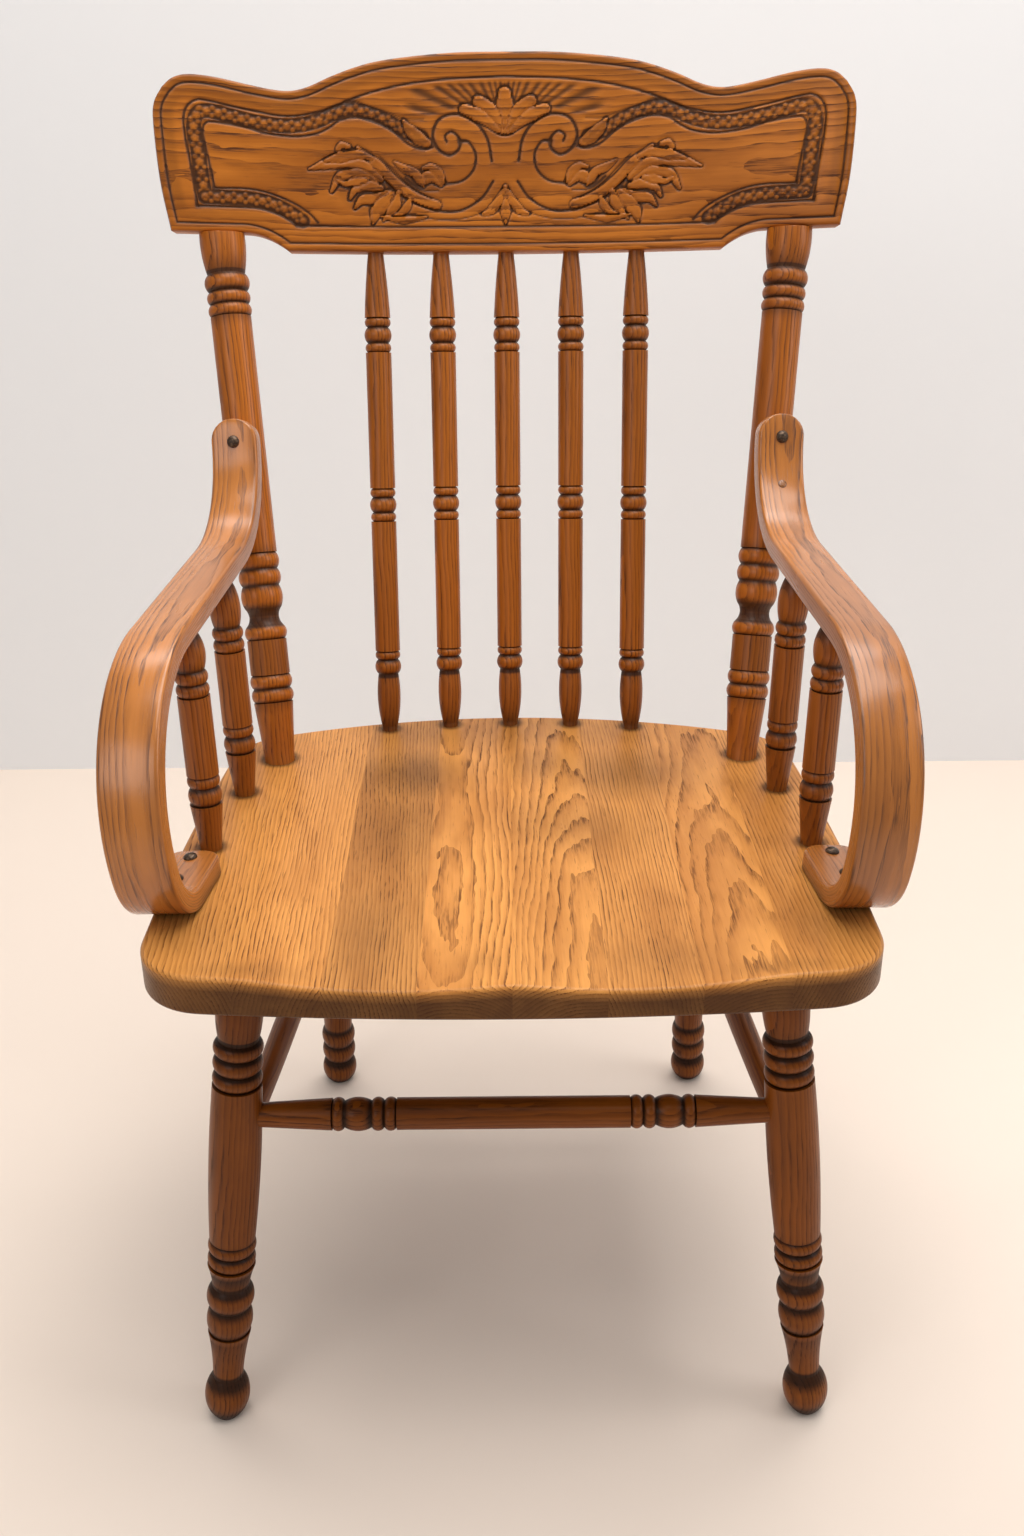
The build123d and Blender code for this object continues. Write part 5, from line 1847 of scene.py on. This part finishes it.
    def skin(self, stations: list[Station], side: float) -> Skin:
        """Sweep one arm.

        Args:
            stations: the middle line.
            side: -1 for the left arm, 1 for the right.

        Returns:
            The arm's skin.
        """
        total = stations[-1].along
        ends = min(s.at[0] for s in stations), stations[-1].at[0]
        stations = self.close_up(stations, np.array(self.end_steps))
        rings, grain, recess = [], [], []
        for station in stations:
            flat = self.section(self.half_width(station, ends, total))
            across = self.direction(station.heading + 90.0)
            local = np.column_stack([station.at + flat[:, :1] * across, flat[:, 1]])
            rings.append(self.to_chair(local))
            grain.append(np.column_stack([flat[:, 1], flat[:, 0], np.full(len(flat), station.along)]))
            recess.append(self.recess_darkening(rings[-1]))
        count = len(rings[0])
        faces = tube_faces(len(rings), count) + end_faces(len(rings), count)
        corners = np.concatenate(rings)
        corners[:, 0] *= -side
        offset = np.array([0.006 * side, 0.031, 0.8 + 0.5 * side])
        return Skin(to_frame(corners), faces, np.concatenate(grain) * MM + offset, np.concatenate(recess))

    def recess_darkening(self, points: Array) -> Array:
        """Painted contact shade where the foot of the arm meets the seat."""
        rise = np.clip(points[:, 2] - self.seat_height, 0.0, None)
        return self.foot_shade * np.exp(-rise**2 / self.foot_shade_reach**2)

    @staticmethod
    def close_up(stations: list[Station], extra: Array) -> list[Station]:
        """Add stations near both ends, so that the rounded ends are drawn finely.

        Args:
            stations: the walked stations.
            extra: distances from an end at which to add one.

        Returns:
            All the stations in order.
        """
        total = stations[-1].along
        alongs = np.array([s.along for s in stations])
        wanted = np.unique(np.round(np.concatenate([alongs, extra, total - extra]), 4))
        x = np.interp(wanted, alongs, [s.at[0] for s in stations])
        y = np.interp(wanted, alongs, [s.at[1] for s in stations])
        heading = np.interp(wanted, alongs, [s.heading for s in stations])
        return [Station(np.array([a, b]), h, w) for a, b, h, w in zip(x, y, heading, wanted)]

    def on_face(self, stations: list[Station], along: float, outer: float) -> tuple[Array, Array]:
        """A point in the middle of a face of the left band, and the face's outward direction.

        Args:
            stations: the middle line.
            along: the length from the foot's end.
            outer: 1 for the face on the left of the walk, -1 for the other.

        Returns:
            The point and the direction, in the chair.
        """
        alongs = [s.along for s in stations]
        at = np.array([np.interp(along, alongs, [s.at[axis] for s in stations]) for axis in (0, 1)])
        heading = float(np.interp(along, alongs, [s.heading for s in stations]))
        across = self.direction(heading + 90.0) * outer
        point = self.to_chair(np.array([*(at + across * self.thickness / 2), 0.0]))
        return point, self.basis()[:, :2] @ across

    def spindle_stick(self, ends: Ends, tip: float) -> list[Stretch]:
        """An arm spindle's stretches from its seat tenon up.

        Args:
            ends: where the spindle leaves the seat and where it meets the arm.
            tip: the length of its egg-shaped tip.

        Returns:
            The stretches.
        """
        groove, foot_dia, top_dia = self.spindle_groove_dia, self.spindle_foot_dia, self.spindle_top_dia
        ring = bead(*self.spindle_ring, groove)
        foot = [straight(self.spindle_tenon + collar(ends, foot_dia), foot_dia),
                straight(self.spindle_taper, foot_dia, ring.middle),
                bead(*self.spindle_wide_ring, groove), ring]
        head = [ring, ring, swell(tip, groove, self.spindle_dia, top_dia),
                straight(collar(ends, top_dia), top_dia)]
        drum = math.dist(*ends) + self.spindle_tenon - stick_length(foot + head)
        return foot + [straight(drum, self.spindle_dia)] + head + [straight(self.spindle_stub, top_dia)]

    def spindle_ends(self, stations: list[Station], base_x: float, base_y: float) -> Ends:
        """Where a left arm spindle leaves the seat and where it meets the arm.

        Args:
            stations: the arm's middle line.
            base_x: the distance of its base from the middle of the chair.
            base_y: the distance of its base from the seat's front edge.

        Returns:
            The two points.
        """
        x = base_y + self.spindle_rake - self.plane_y
        rest = [s for s in stations if abs(s.heading - self.rest_rise) < 0.01]
        y = np.interp(x, [s.at[0] for s in rest], [s.at[1] for s in rest])
        under = y - self.thickness / 2 / math.cos(math.radians(self.rest_rise))
        top = self.to_chair(np.array([x, under, self.spindle_inset]))
        return (-base_x, base_y, self.seat_height), tuple(top)

    def build(self, shop: Workshop, lathe: Lathe, post: Ends) -> None:
        """Make both arms with their spindles, screws and plug.

        Args:
            shop: where the pieces are finished.
            lathe: where the spindles are turned.
            post: the ends of the left back post.
        """
        stations = self.stations(post)
        total = stations[-1].along
        for name, side in SIDES.items():
            mesh = shop.mesh(f"arm_band_{name}", self.skin(stations, side), 0.02 - 0.05 * side)
            shop.finish(f"arm_band_{name}", mesh, Slot.ARM, [f"arm_{name}"])
            for (label, base_x, base_y), tip in zip(self.spindle_bases, self.spindle_tips):
                ends = [sided(end, side) for end in self.spindle_ends(stations, base_x, base_y)]
                lathe.turn(f"arm_spindle_{label}_{name}", self.spindle_stick(ends, tip), ends,
                           self.spindle_tenon, Slot.ARM_SPINDLE, -0.03 * side)
        screws = Screws(shop)
        feet = [self.on_face(stations, setback, -1.0) for setback in self.foot_screws]
        tips = [self.on_face(stations, total - self.tip_screw, 1.0)]
        screws.drive("arm_foot_screw_heads", feet, "arm_foot_screws")
        screws.drive("arm_tip_screw_heads", tips, "arm_tip_screws")
        self.build_plug(shop, stations, total)

    def build_plug(self, shop: Workshop, stations: list[Station], total: float) -> None:
        """Set the small wooden plug below the right arm's tip screw.

        Args:
            shop: where it is finished.
            stations: the middle line.
            total: the band's length.
        """
        point, facing = self.on_face(stations, total - self.plug, 1.0)
        mirror = np.array([-1.0, 1.0, 1.0])
        turn = Vector(facing * mirror).to_track_quat("Z", "Y").to_matrix()
        count = self.plug_sides
        angles = np.linspace(0.0, 2 * math.pi, count, endpoint=False)
        circle = np.column_stack([np.cos(angles), np.sin(angles), np.zeros(count)]) * self.plug_dia / 2
        rings = [circle * share + (0.0, 0.0, rise) for share, rise in self.plug_profile]
        corners = np.concatenate(rings) @ np.array(turn).T + point * mirror
        faces = tube_faces(len(rings), count) + end_faces(len(rings), count)
        recess = np.repeat(self.plug_rim_shade, count)
        mesh = shop.mesh("arm_plug", Skin(to_frame(corners), faces, corners * MM, recess), self.plug_tone)
        shop.finish("arm_plug", mesh, Slot.ARM, [])


class Screws:
    """Drives dome-headed screws with one Geometry Nodes tree."""

    HEAD_DIA = 11.0
    HEAD_HEIGHT = 3.6

    def __init__(self, shop: Workshop) -> None:
        """Build the tree once."""
        self.shop = shop
        self.tree = self.build_tree()

    @staticmethod
    def build_tree() -> bpy.types.NodeTree:
        """A dome at each point, turned to face along the point's own direction.

        Returns:
            The Geometry Nodes tree, with Radius, Height and Finish as its named inputs.
        """
        tree, kit, source = geometry_tree("dome_screws", (("Radius", FLOAT), ("Height", FLOAT)))
        given = source.outputs
        dome = kit.put("GeometryNodeMeshUVSphere", {"Segments": 32, "Rings": 20, "Radius": 1.0})
        size = kit.put("ShaderNodeCombineXYZ", {0: given["Radius"], 1: given["Radius"], 2: given["Height"]})
        facing = kit.put("GeometryNodeInputNamedAttribute", {"Name": FACING}, data_type="FLOAT_VECTOR")
        turn = kit.put("FunctionNodeAlignRotationToVector", {"Vector": facing.outputs["Attribute"]}, axis="Z")
        spread = kit.put("GeometryNodeInstanceOnPoints", {
            "Points": given["Geometry"], "Instance": dome.outputs["Mesh"],
            "Rotation": turn.outputs["Rotation"], "Scale": size.outputs["Vector"],
        })
        end_tree(kit, source, spread.outputs["Instances"])
        return tree

    def drive(self, name: str, places: list[tuple[Array, Array]], node: str) -> None:
        """Put a screw head at each place of the left arm and at its mirror image.

        Args:
            name: the piece's name.
            places: points and outward directions on the left arm.
            node: the node that the heads stand for.
        """
        points, facings = [], []
        for point, facing in places:
            for side in SIDES.values():
                mirror = np.array([-side, 1.0, 1.0])
                points.append(to_frame(point * mirror))
                facings.append(facing * mirror)
        seed = bpy.data.meshes.new(name + "_points")
        seed.from_pydata([tuple(point) for point in points], [], [])
        paint_on(seed, FACING, np.stack(facings))
        mesh = grown(self.tree, seed, {"Radius": self.HEAD_DIA / 2 * MM, "Height": self.HEAD_HEIGHT * MM,
                                       "Finish": self.shop.materials[Slot.BRONZE]})
        mesh.name = name
        self.shop.face_outwards(mesh)
        self.shop.finish(name, mesh, Slot.BRONZE, [node])


# Legs

@dataclass
class Base:
    """The legs and the stretchers. A pair is a length and a diameter."""

    front_ends: Ends = ((-245.0, 34.5, 0.0), (-202.5, 70.0, 417.0))
    rear_ends: Ends = ((-197.5, 493.5, 0.0), (-180.0, 432.0, 417.0))
    tenon: float = 22.0
    tenon_dia: float = 30.0
    foot_sink: float = 4.0
    sole_dia: float = 12.5
    ball_dia: float = 37.0
    neck_dia: float = 25.0
    ring_dia: float = 38.5
    groove_dia: float = 31.0
    cove_dia: float = 30.0
    front_ball: float = 41.0
    front_neck: Point = (46.0, 28.0)
    front_neck_top_dia: float = 35.0
    front_band: Point = (25.5, 37.5)
    front_shoulder: float = 21.0
    front_bell: Point = (20.5, 33.0)
    front_ring: float = 12.8
    front_top_ball: float = 14.0
    front_barrel_dias: Point = (36.7, 41.0)
    front_head: Point = (56.0, 36.5)
    rear_ball: float = 34.0
    rear_band: Point = (22.0, 36.0)
    rear_shaft_dias: Point = (30.0, 35.0)
    front_stretcher_height: float = 291.0
    side_stretcher_height: float = 250.0
    rear_stretcher_height: float = 275.0
    stretcher_bury: float = 8.0
    stretcher_dia: float = 24.8
    stretcher_end_dia: float = 19.0
    stretcher_groove_dia: float = 20.5
    stretcher_taper: float = 54.5
    stretcher_ring: Point = (9.8, 26.0)
    stretcher_barrel: Point = (21.0, 26.0)
    plain_dias: Point = (16.0, 22.0)

    def front_stick(self) -> list[Stretch]:
        """The front leg's stretches.

        Returns:
            The stretches from its foot up.
        """
        groove, ring_dia = self.groove_dia, self.ring_dia
        (neck_length, neck_waist), (bell_length, bell_waist) = self.front_neck, self.front_bell
        head_length, head_dia = self.front_head
        ring = bead(self.front_ring, ring_dia, groove)
        lower = [
            swell(self.front_ball + self.foot_sink, self.sole_dia, self.ball_dia, self.neck_dia),
            swell(neck_length, self.neck_dia, neck_waist, self.front_neck_top_dia),
            bead(*self.front_band, groove), swell(self.front_shoulder, groove, ring_dia, self.cove_dia),
            swell(bell_length, self.cove_dia, bell_waist, ring_dia), ring, ring,
        ]
        upper = [
            ring, bead(self.front_top_ball, ring_dia, groove), ring,
            swell(head_length, groove, head_dia, self.tenon_dia),
            straight(self.tenon + collar(self.front_ends, self.tenon_dia), self.tenon_dia),
        ]
        length = math.dist(*self.front_ends) + self.foot_sink + self.tenon
        barrel = swell(length - stick_length(lower + upper), *self.front_barrel_dias, ring_dia)
        return lower + [barrel] + upper

    def rear_stick(self) -> list[Stretch]:
        """The rear leg's stretches.

        Returns:
            The stretches from its foot up.
        """
        band = bead(*self.rear_band, self.rear_shaft_dias[0])
        ball = swell(self.rear_ball + self.foot_sink, self.sole_dia, self.ball_dia, self.neck_dia)
        lower = [ball, band, band]
        neck = collar(self.rear_ends, self.tenon_dia)
        shaft = math.dist(*self.rear_ends) + self.foot_sink - neck - stick_length(lower)
        return lower + [swell(shaft, *self.rear_shaft_dias, self.tenon_dia),
                        straight(neck + self.tenon, self.tenon_dia)]

    def front_stretcher_stick(self, length: float) -> list[Stretch]:
        """The ringed rail between the front legs.

        Args:
            length: the rail's length between the legs.

        Returns:
            Its stretches from the left.
        """
        groove, dia = self.stretcher_groove_dia, self.stretcher_dia
        ring = bead(*self.stretcher_ring, groove)
        left = [straight(self.stretcher_taper, self.stretcher_end_dia, dia), ring,
                bead(*self.stretcher_barrel, groove), ring, ring]
        right = [Stretch(s.length, s.end, s.middle, s.dia) for s in reversed(left)]
        return left + [straight(length - stick_length(left + right), dia)] + right

    def plain_stick(self, length: float) -> list[Stretch]:
        """A rail that swells gently towards its middle."""
        return [swell(length, *self.plain_dias, self.plain_dias[0])]

    def socket(self, leg: Ends, stick: list[Stretch], height: float) -> tuple[Place, float]:
        """Where a rail meets a leg.

        Args:
            leg: the leg's foot and top.
            stick: the leg's stretches.
            height: the rail's height.

        Returns:
            The point on the leg's axis and the leg's radius there.
        """
        at = at_height(*leg, height)
        return at, dia_at(stick, self.foot_sink + math.dist(leg[0], at)) / 2

    def rail(self, lathe: Lathe, node: str, first: tuple[Place, float], second: tuple[Place, float],
             maker: Callable[[float], list[Stretch]], tone: float) -> None:
        """Turn one rail between two legs, with both ends buried in them.

        Args:
            lathe: where it is turned.
            node: the node that it stands for.
            first: the point on the first leg's axis and that leg's radius.
            second: the same for the second leg.
            maker: gives the stretches for a length.
            tone: how much lighter or darker than its finish it is.
        """
        reach = math.dist(first[0], second[0])
        body = maker(reach - first[1] - second[1])
        start = between(first[0], second[0], first[1] / reach)
        buried = [straight(self.stretcher_bury, dia) for dia in (body[0].dia, body[-1].end)]
        stick = buried[:1] + body + buried[1:]
        lathe.turn(node, stick, (start, second[0]), self.stretcher_bury, Slot.LEG, tone)

    def build(self, lathe: Lathe) -> None:
        """Turn the legs and the rails.

        Args:
            lathe: where they are turned.
        """
        def stand_flat(corners: Array, axis: Array) -> Array:
            """Cut a leg off at the floor."""
            under = np.clip(-corners[:, 2], 0.0, None)
            return corners + (under / axis[2])[:, None] * axis

        legs = ((self.front_ends, self.front_stick()),
                (self.rear_ends, self.rear_stick()))
        for name, side in SIDES.items():
            for label, (leg, stick) in zip(("front", "rear"), legs):
                ends = [sided(end, side) for end in leg]
                lathe.turn(f"{label}_leg_{name}", stick, ends, self.foot_sink, Slot.LEG, 0.06 * side,
                           stand_flat)
            meets = [self.socket(leg, stick, self.side_stretcher_height) for leg, stick in legs]
            low, high = ((sided(at, side), radius) for at, radius in meets)
            self.rail(lathe, f"side_stretcher_{name}", low, high, self.plain_stick, 0.02)
        for node, (leg, stick), height, maker in (
            ("front_stretcher", legs[0], self.front_stretcher_height, self.front_stretcher_stick),
            ("rear_stretcher", legs[1], self.rear_stretcher_height, self.plain_stick),
        ):
            at, radius = self.socket(leg, stick, height)
            self.rail(lathe, node, (at, radius), (sided(at, 1.0), radius), maker, 0.0)


# Stage

class Lamp(NamedTuple):
    """A soft lamp: its name, place and aim in metres, its width and height, its watts and its colour."""

    name: str
    at: Place
    aim: Place
    size: Point
    power: float
    colour: Place


LAMPS = (
    Lamp("top_light", (0.3, -0.3, 3.1), (0.0, 0.0, 0.4), (2.4, 1.8), 62.0, (1.0, 0.98, 0.95)),
    Lamp("front_light", (-1.9, -2.6, 2.2), (0.0, 0.0, 0.6), (1.6, 1.6), 19.0, (1.0, 0.98, 0.96)),
    Lamp("side_light", (2.6, -0.6, 1.9), (0.0, 0.0, 0.6), (1.2, 1.6), 17.0, (0.98, 0.98, 1.0)),
    Lamp("back_light", (0.0, 1.0, 2.7), (0.0, -0.1, 0.6), (2.6, 0.9), 36.0, (1.0, 0.98, 0.96)),
)


@dataclass
class Studio:
    """The floor, the light and the camera."""

    lens: float = 33.28
    sensor: float = 36.0
    eye: Place = (1.163, -828.257, 997.026)
    tilt_degrees: float = 65.131
    roll_degrees: float = -0.5266
    floor_colour: Place = (0.82, 0.70, 0.60)
    wall_colour: Place = (0.86, 0.87, 0.88)
    wall_y: float = 1335.0
    reach: float = 9000.0
    sheet_roughness: float = 0.75
    sky_colour: Place = (0.93, 0.95, 1.0)
    sky_strength: float = 0.28

    def camera(self) -> None:
        """Stand the camera where the photograph was taken from."""
        data = bpy.data.cameras.new("camera")
        data.sensor_fit = "VERTICAL"
        data.sensor_height = self.sensor
        data.lens = self.lens
        camera = placed("camera", data)
        turn = Euler((math.radians(self.tilt_degrees), 0.0, 0.0)).to_matrix().to_4x4()
        roll = Matrix.Rotation(math.radians(self.roll_degrees), 4, "Z")
        camera.matrix_world = Matrix.Translation(Vector(to_frame(np.array(self.eye)))) @ turn @ roll
        bpy.context.scene.camera = camera

    def plane(self, name: str, corners: list[Place], colour: Place, see_through: bool = False) -> None:
        """Lay one plain sheet of the stage.

        Args:
            name: the sheet's name.
            corners: its corners in chair millimetres.
            colour: its colour.
            see_through: whether the sheet vanishes when seen from its back.
        """
        mesh = bpy.data.meshes.new(name)
        mesh.from_pydata(to_frame(np.array(corners, float)).tolist(), [], [tuple(range(len(corners)))])
        material = bpy.data.materials.new(name)
        material.use_nodes = True
        paint = material.node_tree.nodes["Principled BSDF"]
        paint.inputs["Base Color"].default_value = (*colour, 1.0)
        paint.inputs["Roughness"].default_value = self.sheet_roughness
        mesh.materials.append(material)
        if see_through:
            kit = Kit(material.node_tree)
            behind = kit.put("ShaderNodeNewGeometry").outputs["Backfacing"]
            nothing = kit.put("ShaderNodeBsdfTransparent").outputs["BSDF"]
            choice = kit.put("ShaderNodeMixShader", {0: behind, 1: paint.outputs["BSDF"], 2: nothing})
            kit.feed(material.node_tree.nodes["Material Output"].inputs["Surface"], choice.outputs["Shader"])
        placed(name, mesh)

    @staticmethod
    def hang(lamp: Lamp) -> None:
        """Hang one soft lamp.

        Args:
            lamp: the lamp.
        """
        data = bpy.data.lights.new(lamp.name, "AREA")
        data.shape = "RECTANGLE"
        data.size, data.size_y = lamp.size
        data.energy = lamp.power
        data.color = lamp.colour
        thing = placed(lamp.name, data)
        thing.location = lamp.at
        thing.rotation_euler = (Vector(lamp.aim) - Vector(lamp.at)).to_track_quat("-Z", "Y").to_euler()

    def build(self) -> None:
        """Set the stage."""
        self.camera()
        r, y = self.reach, self.wall_y
        self.plane("floor", [(-r, -r, 0), (r, -r, 0), (r, r, 0), (-r, r, 0)], self.floor_colour)
        self.plane("backdrop", [(-r, y, 0), (r, y, 0), (r, y, r / 2), (-r, y, r / 2)], self.wall_colour, True)
        for lamp in LAMPS:
            self.hang(lamp)
        world = bpy.data.worlds.new("studio")
        world.use_nodes = True
        sky = world.node_tree.nodes["Background"].inputs
        sky["Color"].default_value = (*self.sky_colour, 1.0)
        sky["Strength"].default_value = self.sky_strength
        bpy.context.scene.world = world
        bpy.context.scene.view_settings.view_transform = "Standard"


def seat_sockets(back: Back, arms: Arms, crest: Crest) -> list[Foothold]:
    """Everything that stands on the seat, round which soiling and painted contact shade are put.

    Args:
        back: the posts and spindles.
        arms: the arms and their spindles.
        crest: the crest rail.

    Returns:
        The x, y and radius of each base.
    """
    found = []
    for index in range(back.spindle_count):
        base, _ = back.spindle_ends(index, crest)
        found.append((base[0], base[1], back.spindle_end_dia / 2))
    for side in SIDES.values():
        found.append((-side * back.post_base[0], back.post_base[1], back.post_base_dia / 2))
        for _, base_x, base_y in arms.spindle_bases:
            found.append((side * base_x, base_y, arms.spindle_socket_radius))
    return found


def main() -> None:
    """Build the chair's looks in order."""
    logging.basicConfig(level=logging.INFO, format="%(name)s: %(message)s")
    studio, crest, seat, back, arms, base = Studio(), Crest(), Seat(), Back(), Arms(), Base()
    studio.build()
    shop = Workshop()
    lathe = Lathe(shop)
    crest.build(shop)
    seat.build(shop, seat_sockets(back, arms, crest))
    back.build(lathe, crest)
    arms.build(shop, lathe, (back.post_base, back.post_top(crest)))
    base.build(lathe)


if __name__ == "__main__":
    main()
